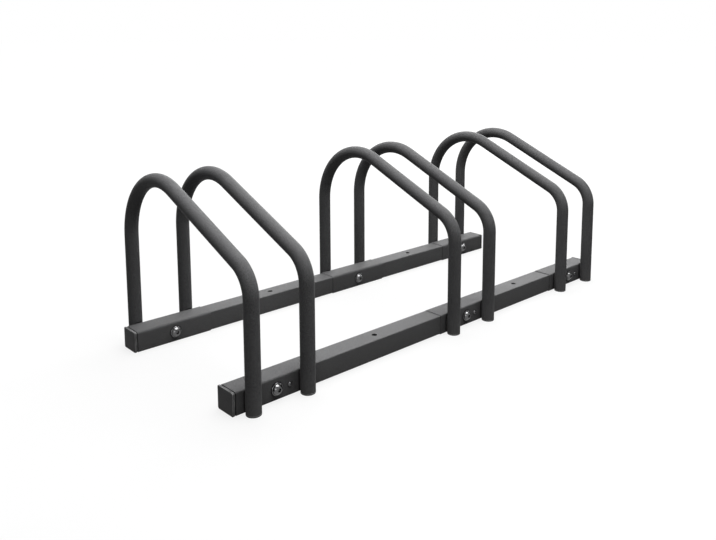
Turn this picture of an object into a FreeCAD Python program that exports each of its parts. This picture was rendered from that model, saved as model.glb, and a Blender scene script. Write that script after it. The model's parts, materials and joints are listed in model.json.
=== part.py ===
import FreeCAD, Part
import math
import operator
import os
from enum import IntEnum, auto
from types import SimpleNamespace

import Sketcher

# Floor bike rack: three pairs of bent tube hoops on two rectangular rails.
# Frame: X along the rails, -Y is the front with the low hoop legs, Z up.
# The origin is at the middle of the rack's box, on the floor. Lengths are millimetres.

# Driving sizes: name, value, meaning.
SIZES = (
    ("bay_one_pitch", 365.0, "left module to middle module, centre to centre"),
    ("bay_two_pitch", 288.0, "middle module to right module, centre to centre"),
    ("wheel_slot_width", 63.0, "clear width between the two hoops of a module"),
    ("hoop_tube_diameter", 20.0, "outside of the hoop tube"),
    ("hoop_tube_wall", 1.2, "wall of the hoop tube"),
    ("leg_span", 310.0, "front leg to rear leg, centre line to centre line"),
    ("rear_corner_height", 305.0, "floor to where the rear leg line meets the slope"),
    ("front_corner_height", 173.1, "floor to where the front leg line meets the slope"),
    ("rear_bend_radius", 94.0, "top bend, on the tube's centre line"),
    ("front_bend_radius", 43.5, "front bend, on the tube's centre line"),
    ("sleeve_depth", 34.0, "outside of the sleeve tube, front to rear"),
    ("sleeve_height", 30.6, "outside of the sleeve tube, bottom to top"),
    ("sleeve_wall", 0.8, "wall of the sleeve tube"),
    ("sleeve_corner_radius", 2.4, "outer corner of the sleeve tube"),
    ("sleeve_overhang", 18.5, "sleeve end past the hoop's centre line"),
    ("floor_clearance", 0.1, "floor to the underside of the sleeves"),
    ("slide_clearance", 0.1, "gap all round between rail and sleeve"),
    ("rail_wall", 1.2, "wall of the rail tube"),
    ("least_inner_radius", 0.3, "sharpest inner corner of a rectangular tube"),
    ("anchor_hole_diameter", 8.0, "hole for a floor anchor screw"),
    ("cap_rim", 4.6, "end cap thickness outside the tube"),
    ("cap_edge_radius", 0.8, "rounded outer edge of the end cap"),
    ("cap_plug_depth", 14.0, "end cap depth inside the rail"),
    ("cap_plug_wall", 1.8, "wall of the end cap's hollow plug"),
    ("foot_height", 2.5, "leg plug's foot under the tube"),
    ("foot_edge_radius", 1.0, "rounded lower edge of the foot"),
    ("stem_depth", 14.0, "leg plug's stem inside the tube"),
    ("stem_wall", 1.8, "wall of the leg plug's hollow stem"),
    ("rib_depth", 0.8, "grip ribs on caps and plugs, out from the stem"),
    ("rib_width", 1.2, "grip ribs, along the stem"),
    ("plug_fit_gap", 0.15, "gap between grip ribs and tube"),
    ("bolt_diameter", 8.0, "frame bolt's shank"),
    ("bolt_head_diameter", 14.0, "frame bolt's domed head"),
    ("bolt_head_height", 4.4, "frame bolt's domed head"),
    ("bolt_head_rim", 0.8, "straight rim below the dome"),
    ("bolt_socket_flats", 5.0, "hexagon socket in the head, across flats"),
    ("bolt_socket_depth", 2.6, "hexagon socket in the head"),
    ("bolt_tail", 2.5, "bolt end past the nut"),
    ("bolt_chamfer", 0.8, "chamfer at the bolt's end"),
    ("washer_diameter", 17.0, "outside of the washers"),
    ("washer_thickness", 1.6, "thickness of the washers"),
    ("nut_flats", 13.0, "hexagon nut, across flats"),
    ("nut_height", 6.5, "hexagon nut"),
    ("hole_clearance", 0.25, "gap round a bolt or screw in a plain hole"),
    ("thread_clearance", 0.05, "gap round a thread in its nut or tapped wall"),
    ("screw_diameter", 3.5, "lock screw's shank"),
    ("screw_head_diameter", 6.0, "lock screw's domed head"),
    ("screw_head_height", 2.0, "lock screw's domed head"),
    ("screw_head_rim", 0.5, "straight rim below the dome"),
    ("screw_tip", 3.5, "lock screw's point past the rail wall"),
    ("weld_root_gap", 0.1, "gap between leg and sleeve where a weld bead starts"),
    ("weld_height", 2.0, "gap between leg and sleeve where a weld bead ends"),
    ("weld_spread", 1.5, "weld toe on the sleeve, past the bead's end on the leg"),
)

RIB_COUNT = 3
FRONT, REAR = -1, 1
SIDE_NAMES = {FRONT: "front", REAR: "rear"}
LEFT, RIGHT = -1, 1
HAND_NAMES = {LEFT: "left", RIGHT: "right"}
X_DIRECTION = FreeCAD.Vector(1, 0, 0)
Z_DIRECTION = FreeCAD.Vector(0, 0, 1)


class SketchPoint(IntEnum):
    """The point of a sketch's line or arc that a constraint takes hold of."""

    START = auto()
    END = auto()
    CENTRE = auto()


class SketchAxis(IntEnum):
    """A sketch's own axes, which it numbers downwards from minus one."""

    @staticmethod
    def _generate_next_value_(name, start, count, last_values):
        return ~count

    HORIZONTAL = auto()
    VERTICAL = auto()


START, END, CENTRE = SketchPoint
H_AXIS, V_AXIS = SketchAxis
ORIGIN_POINT = (H_AXIS, START)


class Formula:
    """A size worked out from the sheet: its expression, and its value as the sheet stands."""

    def __init__(self, text, number):
        self.text = text
        self.number = number

    def __add__(self, other):
        return joined(self, "+", operator.add, other)

    def __sub__(self, other):
        return joined(self, "-", operator.sub, other)

    def __mul__(self, other):
        return joined(self, "*", operator.mul, other)

    def __truediv__(self, other):
        return joined(self, "/", operator.truediv, other)

    def __rmul__(self, other):
        return joined(other, "*", operator.mul, self)

    def __neg__(self):
        return joined(0, "-", operator.sub, self)

    def root(self):
        return Formula(f"sqrt({self.text})", math.sqrt(self.number))

    def at_least(self, other):
        return Formula(f"max({self.text}; {other.text})", max(self.number, other.number))

    def at_most(self, other):
        return Formula(f"min({self.text}; {other.text})", min(self.number, other.number))


def as_formula(value):
    """A plain number as a formula. A formula stays as it is."""
    return value if isinstance(value, Formula) else Formula(str(value), float(value))


def joined(left, sign, work, right):
    """Two sizes joined by an arithmetic sign."""
    left = as_formula(left)
    right = as_formula(right)
    return Formula(f"({left.text} {sign} {right.text})", work(left.number, right.number))


class Section:
    """A rectangle with rounded corners across a tube: its depth along Y and its height along Z."""

    def __init__(self, depth, height, radius):
        self.depth = depth
        self.height = height
        self.radius = radius

    def inside(self, gap):
        """The section that lies inside this one by a gap all round."""
        radius = (self.radius - gap).at_least(size.least_inner_radius)
        return Section(self.depth - 2 * gap, self.height - 2 * gap, radius)


def make_sheet(doc):
    """Writes the driving sizes into a sheet and gives them back as formulas."""
    sheet = doc.addObject("Spreadsheet::Sheet", "Sizes")
    for row, (alias, value, meaning) in enumerate(SIZES, start=1):
        sheet.set(f"A{row}", meaning)
        sheet.set(f"B{row}", str(value))
        sheet.setAlias(f"B{row}", alias)
    doc.recompute()
    return SimpleNamespace(
        **{alias: Formula(f"Sizes.{alias}", float(sheet.get(alias))) for alias, *_ in SIZES}
    )


doc = FreeCAD.newDocument("FloorBikeRack")
size = make_sheet(doc)
ZERO = as_formula(0)

# Places that several pieces share.
tube_radius = size.hoop_tube_diameter / 2
tube_bore_radius = tube_radius - size.hoop_tube_wall
hoop_offset = (size.wheel_slot_width + size.hoop_tube_diameter) / 2
sleeve_length = 2 * (hoop_offset + size.sleeve_overhang)
sleeve_outside = Section(size.sleeve_depth, size.sleeve_height, size.sleeve_corner_radius)
sleeve_bore = sleeve_outside.inside(size.sleeve_wall)
rail_outside = sleeve_bore.inside(size.slide_clearance)
rail_bore = rail_outside.inside(size.rail_wall)
rail_length = size.bay_one_pitch + size.bay_two_pitch + sleeve_length
rail_y = size.leg_span / 2 - tube_radius - size.sleeve_depth / 2
rail_z = size.floor_clearance + size.sleeve_height / 2
bolt_hole = size.bolt_diameter + 2 * size.hole_clearance
screw_offset = (size.washer_diameter + size.wheel_slot_width) / 4
half_run = (size.bay_one_pitch + size.bay_two_pitch) / 2
MODULE_X = {1: -half_run, 2: size.bay_one_pitch - half_run, 3: half_run}


def new_body(label):
    """An empty body whose label is its node's name."""
    body = doc.addObject("PartDesign::Body", label)
    body.Label = label
    return body


def place(item, x, y, z, rotation=None):
    """Binds an object's place to the sheet and turns it where a rotation is given."""
    if rotation is not None:
        item.Placement = FreeCAD.Placement(FreeCAD.Vector(), rotation)
    for axis, formula in zip("xyz", (x, y, z)):
        item.setExpression(f"Placement.Base.{axis}", formula.text)


def new_sketch(body, name, plane, lift=None):
    """An empty sketch on one of its body's origin planes, raised along its normal by lift."""
    sketch = body.newObject("Sketcher::SketchObject", f"{body.Name}_{name}")
    support = next(item for item in body.Origin.OriginFeatures if item.Role == plane)
    sketch.AttachmentSupport = [(support, "")]
    sketch.MapMode = "FlatFace"
    if lift is not None:
        sketch.setExpression("AttachmentOffset.Base.z", lift.text)
    return sketch


def drive(sketch, kind, *where, by):
    """Adds a dimension to a sketch and binds it to a formula."""
    index = sketch.addConstraint(Sketcher.Constraint(kind, *where, by.number))
    sketch.setExpression(f"Constraints[{index}]", by.text)


def fix_point(sketch, geometry, point, x, y):
    """Holds a point of a sketch at x, y from the sketch's origin."""
    for kind, axis, value in (("DistanceX", V_AXIS, x), ("DistanceY", H_AXIS, y)):
        if value is ZERO:
            sketch.addConstraint(Sketcher.Constraint("PointOnObject", geometry, point, axis))
        else:
            drive(sketch, kind, *ORIGIN_POINT, geometry, point, by=value)


def flat(x, y):
    """A point of a sketch as a vector."""
    return FreeCAD.Vector(x.number, y.number, 0)


def draw_circle(sketch, x, y, diameter):
    """Draws a circle about a point of the sketch."""
    circle = Part.Circle(flat(x, y), Z_DIRECTION, diameter.number / 2)
    index = sketch.addGeometry(circle, False)
    fix_point(sketch, index, CENTRE, x, y)
    drive(sketch, "Diameter", index, by=diameter)


def arc_ends(sketch, index, first):
    """Which end of an arc lies at its first point, and which at its last."""
    to_start = sketch.getPoint(index, START).distanceToPoint(first)
    to_end = sketch.getPoint(index, END).distanceToPoint(first)
    return (START, END) if to_start < to_end else (END, START)


def draw_side(sketch, first, last, radius, bulge):
    """Draws a straight side, or an arc that bulges to the right (1) or left (-1) of its chord."""
    if radius is None:
        index = sketch.addGeometry(Part.LineSegment(first, last), False)
        return index, START, END
    chord = last - first
    sideways = FreeCAD.Vector(chord.y, -chord.x, 0).normalize() * bulge
    depth = radius.number - math.sqrt(radius.number**2 - (chord.Length / 2) ** 2)
    index = sketch.addGeometry(Part.Arc(first, (first + last) / 2 + sideways * depth, last), False)
    drive(sketch, "Radius", index, by=radius)
    return index, *arc_ends(sketch, index, first)


def draw_outline(sketch, corners, arcs=None):
    """Draws a closed outline through its corners. arcs gives a side's radius and bulge by number."""
    arcs = arcs or {}
    points = [flat(x, y) for x, y in corners]
    sides = []
    for number, first in enumerate(points):
        last = points[(number + 1) % len(points)]
        sides.append(draw_side(sketch, first, last, *arcs.get(number, (None, 0))))
    for number, (index, start, _) in enumerate(sides):
        before, _, before_end = sides[number - 1]
        sketch.addConstraint(Sketcher.Constraint("Coincident", before, before_end, index, start))
        fix_point(sketch, index, start, *corners[number])


def draw_section(sketch, section):
    """Draws a tube's section about the sketch's origin, its depth along the sketch's X."""
    x = section.depth / 2
    y = section.height / 2
    near_x = x - section.radius
    near_y = y - section.radius
    corners = [
        (-near_x, -y), (near_x, -y), (x, -near_y), (x, near_y),
        (near_x, y), (-near_x, y), (-x, near_y), (-x, -near_y),
    ]
    draw_outline(sketch, corners, {number: (section.radius, 1) for number in (1, 3, 5, 7)})


def draw_hexagon(sketch, flats):
    """Draws a hexagon about the sketch's origin, two of its sides parallel to the sketch's X."""
    half = flats / 2
    corner = flats / as_formula(3).root()
    corners = [
        (corner / 2, -half), (corner, ZERO), (corner / 2, half),
        (-corner / 2, half), (-corner, ZERO), (-corner / 2, -half),
    ]
    draw_outline(sketch, corners)


def pad(body, sketch, length, name, reverse=False, symmetric=False):
    """Pads a sketch along its normal, against it, or to both sides alike."""
    feature = body.newObject("PartDesign::Pad", f"{body.Name}_{name}")
    feature.Profile = sketch
    feature.setExpression("Length", length.text)
    feature.Reversed = reverse
    feature.SideType = "Symmetric" if symmetric else "One side"
    doc.recompute()
    return feature


def revolve(body, sketch, name):
    """Turns a sketch about its own vertical axis."""
    feature = body.newObject("PartDesign::Revolution", f"{body.Name}_{name}")
    feature.Profile = sketch
    feature.ReferenceAxis = (sketch, ["V_Axis"])
    doc.recompute()
    return feature


def cut(body, sketch, name, depth=None, reverse=False, both_ways=False):
    """Pockets a sketch, through all where no depth is given, and checks that metal went away."""
    before = body.Shape.Volume
    feature = body.newObject("PartDesign::Pocket", f"{body.Name}_{name}")
    feature.Profile = sketch
    feature.Reversed = reverse
    if depth is None:
        feature.Type = "ThroughAll"
    else:
        feature.setExpression("Length", depth.text)
    if both_ways:
        feature.SideType = "Symmetric"
    doc.recompute()
    if body.Shape.Volume >= before:
        raise RuntimeError(f"{feature.Name} cuts nothing")
    return feature


def repeat_along(body, feature, axis, count, step, reverse=False):
    """Copies a feature along one of its body's axes, step apart."""
    pattern = body.newObject("PartDesign::LinearPattern", f"{feature.Name}_row")
    pattern.Originals = [feature]
    direction = next(item for item in body.Origin.OriginFeatures if item.Role == axis)
    pattern.Direction = (direction, [""])
    pattern.Reversed = reverse
    pattern.Occurrences = count
    pattern.setExpression("Length", (step * (count - 1)).text)
    body.Tip = pattern
    doc.recompute()


def bend_points(before, corner, after, radius):
    """Start, middle and end of the arc that rounds a corner of a path."""
    back = (before - corner).normalize()
    ahead = (after - corner).normalize()
    half_angle = back.getAngle(ahead) / 2
    inward = (back + ahead).normalize()
    reach = radius / math.tan(half_angle)
    middle = corner + inward * (radius / math.sin(half_angle) - radius)
    return corner + back * reach, middle, corner + ahead * reach


def draw_hoop_path(sketch):
    """Rear leg up, top bend, slope down to the front bend, front leg down. X is depth, Y is height."""
    half_span = size.leg_span / 2
    rear_foot = (half_span, size.foot_height)
    rear_corner = (half_span, size.rear_corner_height)
    front_corner = (-half_span, size.front_corner_height)
    front_foot = (-half_span, size.foot_height)
    a, b, c, d = (flat(*point) for point in (rear_foot, rear_corner, front_corner, front_foot))
    top = bend_points(a, b, c, size.rear_bend_radius.number)
    knee = bend_points(b, c, d, size.front_bend_radius.number)
    rear_leg = sketch.addGeometry(Part.LineSegment(a, top[0]), False)
    top_bend = sketch.addGeometry(Part.Arc(*top), False)
    slope = sketch.addGeometry(Part.LineSegment(top[2], knee[0]), False)
    front_bend = sketch.addGeometry(Part.Arc(*knee), False)
    front_leg = sketch.addGeometry(Part.LineSegment(knee[2], d), False)
    guide = sketch.addGeometry(Part.LineSegment(b, c), True)
    fix_point(sketch, rear_leg, START, *rear_foot)
    fix_point(sketch, guide, START, *rear_corner)
    fix_point(sketch, guide, END, *front_corner)
    fix_point(sketch, front_leg, END, *front_foot)
    runs = ((rear_leg, top_bend, slope, top[0]), (slope, front_bend, front_leg, knee[0]))
    for run_in, bend, run_out, first in runs:
        bend_in, bend_out = arc_ends(sketch, bend, first)
        sketch.addConstraint(Sketcher.Constraint("Tangent", run_in, END, bend, bend_in))
        sketch.addConstraint(Sketcher.Constraint("Tangent", bend, bend_out, run_out, START))
    for leg in (rear_leg, front_leg):
        sketch.addConstraint(Sketcher.Constraint("Vertical", leg))
    for point in (START, END):
        sketch.addConstraint(Sketcher.Constraint("PointOnObject", slope, point, guide))
    drive(sketch, "Radius", top_bend, by=size.rear_bend_radius)
    drive(sketch, "Radius", front_bend, by=size.front_bend_radius)


def make_hoop(module, hand):
    """A hoop bent from one round tube, standing on its two leg plugs."""
    body = new_body(f"module_{module}_{HAND_NAMES[hand]}_hoop")
    path = new_sketch(body, "path", "YZ_Plane")
    draw_hoop_path(path)
    section = new_sketch(body, "section", "XY_Plane", lift=size.foot_height)
    draw_circle(section, ZERO, size.leg_span / 2, size.hoop_tube_diameter)
    draw_circle(section, ZERO, size.leg_span / 2, 2 * tube_bore_radius)
    doc.recompute()
    tube = body.newObject("PartDesign::AdditivePipe", f"{body.Name}_tube")
    tube.Profile = section
    tube.Spine = path
    doc.recompute()
    place(body, MODULE_X[module] + hand * hoop_offset, ZERO, ZERO)
    return body


def make_rectangular_tube(label, outside, bore, length):
    """A rectangular tube along X about its body's origin."""
    body = new_body(label)
    section = new_sketch(body, "section", "YZ_Plane")
    draw_section(section, outside)
    draw_section(section, bore)
    pad(body, section, length, "tube", symmetric=True)
    return body


def make_sleeve(module, side):
    """The short tube that carries one end of a module's hoops and slides over a rail."""
    label = f"module_{module}_{SIDE_NAMES[side]}_sleeve"
    body = make_rectangular_tube(label, sleeve_outside, sleeve_bore, sleeve_length)
    bolt = new_sketch(body, "bolt", "XZ_Plane")
    draw_circle(bolt, ZERO, ZERO, bolt_hole)
    cut(body, bolt, "bolt_hole", both_ways=True)
    if side == FRONT:
        screw = new_sketch(body, "screw", "XZ_Plane")
        draw_circle(screw, screw_offset, ZERO, size.screw_diameter + 2 * size.hole_clearance)
        cut(body, screw, "screw_hole", reverse=True)
    place(body, MODULE_X[module], side * rail_y, rail_z)
    return body


def make_rail(side):
    """The long inner tube that ties the sleeves of one side together."""
    body = make_rectangular_tube(f"{SIDE_NAMES[side]}_rail", rail_outside, rail_bore, rail_length)
    bolts = new_sketch(body, "bolts", "XZ_Plane")
    for x in MODULE_X.values():
        draw_circle(bolts, x, ZERO, bolt_hole)
    cut(body, bolts, "bolt_holes", both_ways=True)
    anchors = new_sketch(body, "anchors", "XY_Plane")
    for x in (-size.bay_two_pitch / 2, size.bay_one_pitch / 2):
        draw_circle(anchors, x, ZERO, size.anchor_hole_diameter)
    cut(body, anchors, "anchor_holes", both_ways=True)
    if side == FRONT:
        screws = new_sketch(body, "screws", "XZ_Plane")
        for x in MODULE_X.values():
            draw_circle(screws, x + screw_offset, ZERO, size.screw_diameter + 2 * size.thread_clearance)
        cut(body, screws, "screw_holes", reverse=True)
    place(body, ZERO, side * rail_y, rail_z)
    return body


def make_rail_cap(side, hand):
    """A moulded cap: a rim that covers the tube ends and a ribbed hollow plug in the rail."""
    body = new_body(f"{SIDE_NAMES[side]}_rail_{HAND_NAMES[hand]}_cap")
    grip = rail_bore.inside(size.plug_fit_gap)
    stem = grip.inside(size.rib_depth)
    rim = new_sketch(body, "rim", "YZ_Plane")
    draw_section(rim, sleeve_outside)
    plate = pad(body, rim, size.cap_rim, "plate")
    outer = [
        f"Edge{number}"
        for number, edge in enumerate(plate.Shape.Edges, start=1)
        if edge.BoundBox.XMin > size.cap_rim.number / 2
    ]
    rounding = body.newObject("PartDesign::Fillet", f"{body.Name}_rounding")
    rounding.Base = (plate, outer)
    rounding.setExpression("Radius", size.cap_edge_radius.at_most(size.cap_rim / 2).text)
    doc.recompute()
    core = new_sketch(body, "core", "YZ_Plane")
    draw_section(core, stem)
    draw_section(core, stem.inside(size.cap_plug_wall))
    pad(body, core, size.cap_plug_depth, "plug", reverse=True)
    pitch = size.cap_plug_depth / RIB_COUNT
    rib = new_sketch(body, "rib", "YZ_Plane", lift=(size.rib_width - pitch) / 2)
    draw_section(rib, grip)
    draw_section(rib, stem.inside(size.cap_plug_wall / 2))
    ring = pad(body, rib, size.rib_width, "ring", reverse=True)
    repeat_along(body, ring, "X_Axis", RIB_COUNT, pitch, reverse=True)
    turn = 0 if hand == RIGHT else 180
    place(
        body, hand * (rail_length / 2), side * rail_y, rail_z,
        FreeCAD.Rotation(Z_DIRECTION, turn),
    )
    return body


def make_leg_plug(module, hand, side):
    """A moulded plug: a round foot under the leg and a ribbed hollow stem inside the tube."""
    body = new_body(f"module_{module}_{HAND_NAMES[hand]}_{SIDE_NAMES[side]}_plug")
    grip = tube_bore_radius - size.plug_fit_gap
    stem = grip - size.rib_depth
    hollow = stem - size.stem_wall
    top = size.foot_height + size.stem_depth
    edge = size.foot_edge_radius.at_most(size.foot_height / 2)
    foot = new_sketch(body, "foot", "XZ_Plane")
    draw_outline(
        foot,
        [
            (ZERO, ZERO),
            (tube_radius - edge, ZERO),
            (tube_radius, edge),
            (tube_radius, size.foot_height),
            (stem, size.foot_height),
            (stem, top),
            (hollow, top),
            (hollow, size.foot_height),
            (ZERO, size.foot_height),
        ],
        {1: (edge, 1)},
    )
    revolve(body, foot, "stem")
    pitch = size.stem_depth / RIB_COUNT
    low = size.foot_height + (pitch - size.rib_width) / 2
    rib = new_sketch(body, "rib", "XZ_Plane")
    draw_outline(
        rib,
        [
            (stem - size.stem_wall / 2, low),
            (grip, low),
            (grip, low + size.rib_width),
            (stem - size.stem_wall / 2, low + size.rib_width),
        ],
    )
    ring = revolve(body, rib, "ring")
    repeat_along(body, ring, "Z_Axis", RIB_COUNT, pitch)
    place(body, MODULE_X[module] + hand * hoop_offset, side * (size.leg_span / 2), ZERO)
    return body


def dome_radius(diameter, rise):
    """Radius of a round dome from its width and its rise."""
    half = diameter / 2
    return (half * half + rise * rise) / (2 * rise)


def make_bolt():
    """A domed socket-head bolt along Z, with the underside of its head at the origin."""
    body = new_body("bolt_pattern_piece")
    length = size.sleeve_depth + 2 * size.washer_thickness + size.nut_height + size.bolt_tail
    radius = size.bolt_diameter / 2
    head = size.bolt_head_diameter / 2
    dome = dome_radius(size.bolt_head_diameter, size.bolt_head_height - size.bolt_head_rim)
    profile = new_sketch(body, "profile", "XZ_Plane")
    draw_outline(
        profile,
        [
            (ZERO, -length),
            (radius - size.bolt_chamfer, -length),
            (radius, size.bolt_chamfer - length),
            (radius, ZERO),
            (head, ZERO),
            (head, size.bolt_head_rim),
            (ZERO, size.bolt_head_height),
        ],
        {5: (dome, 1)},
    )
    revolve(body, profile, "turned")
    socket = new_sketch(body, "socket", "XY_Plane", lift=size.bolt_head_height)
    draw_hexagon(socket, size.bolt_socket_flats)
    cut(body, socket, "socket_cut", depth=size.bolt_socket_depth)
    return body


def make_washer():
    """A plain washer on the XY plane."""
    body = new_body("washer_pattern_piece")
    ring = new_sketch(body, "ring", "XY_Plane")
    draw_circle(ring, ZERO, ZERO, size.washer_diameter)
    draw_circle(ring, ZERO, ZERO, bolt_hole)
    pad(body, ring, size.washer_thickness, "plate")
    return body


def make_nut():
    """A hexagon nut on the XY plane."""
    body = new_body("nut_pattern_piece")
    hexagon = new_sketch(body, "hexagon", "XY_Plane")
    draw_hexagon(hexagon, size.nut_flats)
    draw_circle(hexagon, ZERO, ZERO, size.bolt_diameter + 2 * size.thread_clearance)
    pad(body, hexagon, size.nut_height, "block")
    return body


def make_screw():
    """A small domed lock screw along Z, with the underside of its head at the origin."""
    body = new_body("screw_pattern_piece")
    grip = size.sleeve_wall + size.slide_clearance + size.rail_wall
    radius = size.screw_diameter / 2
    head = size.screw_head_diameter / 2
    dome = dome_radius(size.screw_head_diameter, size.screw_head_height - size.screw_head_rim)
    profile = new_sketch(body, "profile", "XZ_Plane")
    draw_outline(
        profile,
        [
            (ZERO, -(grip + size.screw_tip)),
            (radius, -grip),
            (radius, ZERO),
            (head, ZERO),
            (head, size.screw_head_rim),
            (ZERO, size.screw_head_height),
        ],
        {4: (dome, 1)},
    )
    revolve(body, profile, "turned")
    return body


def leg_half_chord(gap):
    """Half width of a leg's round side where it stands off its sleeve by a gap."""
    return (gap * (size.hoop_tube_diameter - gap)).root()


def make_weld_pair():
    """The two weld beads of one leg, at the middle of its contact line. The leg lies towards +Y."""
    body = new_body("weld_pattern_piece")
    body.AllowCompound = True
    start = leg_half_chord(size.weld_root_gap)
    end = leg_half_chord(size.weld_height)
    beads = new_sketch(body, "beads", "XY_Plane")
    for hand in (RIGHT, LEFT):
        draw_outline(
            beads,
            [
                (hand * start, ZERO),
                (hand * (end + size.weld_spread), ZERO),
                (hand * end, size.weld_height),
                (hand * start, size.weld_root_gap),
            ],
            {2: (tube_radius, -hand)},
        )
    pad(body, beads, size.sleeve_height - 2 * size.sleeve_corner_radius, "run", symmetric=True)
    return body


def group(label, piece, spots):
    """Several copies of one piece as one node. A spot is x, y, z and a rotation."""
    copies = []
    for number, (x, y, z, rotation) in enumerate(spots, start=1):
        copy = doc.addObject("App::Link", f"{label}_{number}")
        copy.LinkedObject = piece
        place(copy, x, y, z, rotation)
        copies.append(copy)
    compound = doc.addObject("Part::Compound", label)
    compound.Label = label
    compound.Links = copies
    return compound


def fastener_groups():
    """Bolts, washers, nuts and lock screws. All heads face the front."""
    to_front = FreeCAD.Rotation(X_DIRECTION, 90)
    to_rear = FreeCAD.Rotation(X_DIRECTION, -90)
    half_stack = size.sleeve_depth / 2 + size.washer_thickness
    bolts, washers, nuts, screws = [], [], [], []
    for side in (FRONT, REAR):
        y = side * rail_y
        for x in MODULE_X.values():
            bolts.append((x, y - half_stack, rail_z, to_front))
            washers.append((x, y - size.sleeve_depth / 2, rail_z, to_front))
            washers.append((x, y + size.sleeve_depth / 2, rail_z, to_rear))
            nuts.append((x, y + half_stack, rail_z, to_rear))
    for x in MODULE_X.values():
        screws.append((x + screw_offset, FRONT * rail_y - size.sleeve_depth / 2, rail_z, to_front))
    return [
        group("frame_bolts", make_bolt(), bolts),
        group("bolt_washers", make_washer(), washers),
        group("frame_nuts", make_nut(), nuts),
        group("lock_screws", make_screw(), screws),
    ]


def weld_groups():
    """The weld beads of each module."""
    piece = make_weld_pair()
    face_y = rail_y + size.sleeve_depth / 2
    groups = []
    for module, module_x in MODULE_X.items():
        spots = []
        for side in (FRONT, REAR):
            turn = FreeCAD.Rotation(Z_DIRECTION, 0 if side == REAR else 180)
            for hand in (LEFT, RIGHT):
                spots.append((module_x + hand * hoop_offset, side * face_y, rail_z, turn))
        groups.append(group(f"module_{module}_welds", piece, spots))
    return groups


def make_parts():
    """Every node of the rack."""
    parts = []
    for module in MODULE_X:
        for hand in (LEFT, RIGHT):
            parts.append(make_hoop(module, hand))
            for side in (FRONT, REAR):
                parts.append(make_leg_plug(module, hand, side))
        for side in (FRONT, REAR):
            parts.append(make_sleeve(module, side))
    for side in (FRONT, REAR):
        parts.append(make_rail(side))
        for hand in (LEFT, RIGHT):
            parts.append(make_rail_cap(side, hand))
    return parts + fastener_groups() + weld_groups()


def check(parts):
    """Stops on a failed object or a bad shape, before anything is written."""
    for item in doc.Objects:
        if "Invalid" in item.State or "Error" in item.State:
            raise RuntimeError(f"{item.Label} failed: {item.State}")
    for part in parts:
        if part.Shape.isNull() or not part.Shape.isValid() or part.Shape.Volume <= 0:
            raise RuntimeError(f"{part.Label} has a bad shape")
        if part.isDerivedFrom("PartDesign::Body") and len(part.Shape.Solids) != 1:
            raise RuntimeError(f"{part.Label} is not one solid")


def main():
    """Builds the rack, checks it and writes one file for each node."""
    parts = make_parts()
    doc.recompute()
    check(parts)
    os.makedirs("parts", exist_ok=True)
    for part in parts:
        part.Shape.exportStep(f"parts/{part.Label}.step")
    box = FreeCAD.BoundBox()
    for part in parts:
        box.add(part.Shape.optimalBoundingBox(False, False))
    print(f"{len(parts)} nodes, {box.XLength:.1f} x {box.YLength:.1f} x {box.ZLength:.1f} mm")


main()
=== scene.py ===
"""Looks of the floor bike rack: powder-coated hoops and rails, moulded plugs, plated fasteners, studio.

Every length is in metres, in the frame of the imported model: X along the rails, -Y to the front, Z up.
"""

import json
import logging
import math
from dataclasses import dataclass, replace
from enum import Enum, IntEnum
from typing import Callable, Iterator, Sequence

import bmesh
import bpy
from mathutils import Matrix, Quaternion, Vector

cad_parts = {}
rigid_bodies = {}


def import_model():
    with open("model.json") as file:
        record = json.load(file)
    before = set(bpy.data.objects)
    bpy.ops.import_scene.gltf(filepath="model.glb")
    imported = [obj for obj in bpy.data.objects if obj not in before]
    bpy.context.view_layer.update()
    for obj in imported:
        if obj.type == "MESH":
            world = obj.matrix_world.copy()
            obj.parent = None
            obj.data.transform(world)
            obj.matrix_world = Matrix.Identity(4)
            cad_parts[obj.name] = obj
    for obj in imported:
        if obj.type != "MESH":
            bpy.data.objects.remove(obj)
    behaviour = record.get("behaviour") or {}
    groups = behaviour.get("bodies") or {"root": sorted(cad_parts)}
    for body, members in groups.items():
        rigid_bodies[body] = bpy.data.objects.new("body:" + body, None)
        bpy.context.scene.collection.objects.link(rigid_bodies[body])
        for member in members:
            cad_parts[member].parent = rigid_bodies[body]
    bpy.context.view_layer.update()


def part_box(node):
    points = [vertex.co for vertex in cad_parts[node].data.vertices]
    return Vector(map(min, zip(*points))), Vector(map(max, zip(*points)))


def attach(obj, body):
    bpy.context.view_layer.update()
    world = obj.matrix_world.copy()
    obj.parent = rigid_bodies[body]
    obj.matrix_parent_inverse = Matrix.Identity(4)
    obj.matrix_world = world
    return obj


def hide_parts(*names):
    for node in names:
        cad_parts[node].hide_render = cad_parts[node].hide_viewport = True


LOG = logging.getLogger("bike_rack")
BODY = "root"
MM = 0.001
PHOTO_WIDTH = 716
MODULES = (1, 2, 3)
QUARTER_TURN = math.pi / 2

Tree = bpy.types.NodeTree
Node = bpy.types.Node
Socket = bpy.types.NodeSocket
Material = bpy.types.Material
Mesh = bpy.types.Mesh
Piece = bpy.types.Object
GroupParts = tuple[Tree, Node, Node]
Color = tuple[float, float, float]
Ring = list[Vector]
Rule = Callable[[float], float]
Setting = object


class Slot(Enum):
    """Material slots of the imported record."""

    STEEL = "powder_coated_steel"
    PLASTIC = "moulded_plastic"
    ZINC = "zinc_hardware"


class Direction(IntEnum):
    """A direction on the rack, as the sign of an axis."""

    @property
    def word(self) -> str:
        """The direction's word in node names."""
        return self.name.lower()


class Side(Direction):
    """The rack's two long sides, as the sign of Y."""

    FRONT = -1
    REAR = 1


class Hand(Direction):
    """Left and right as seen from the front, as the sign of X."""

    LEFT = -1
    RIGHT = 1


# Node trees


class TreeKind(Enum):
    """Types of node groups."""

    SHADER = "ShaderNodeTree"
    GEOMETRY = "GeometryNodeTree"


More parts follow.
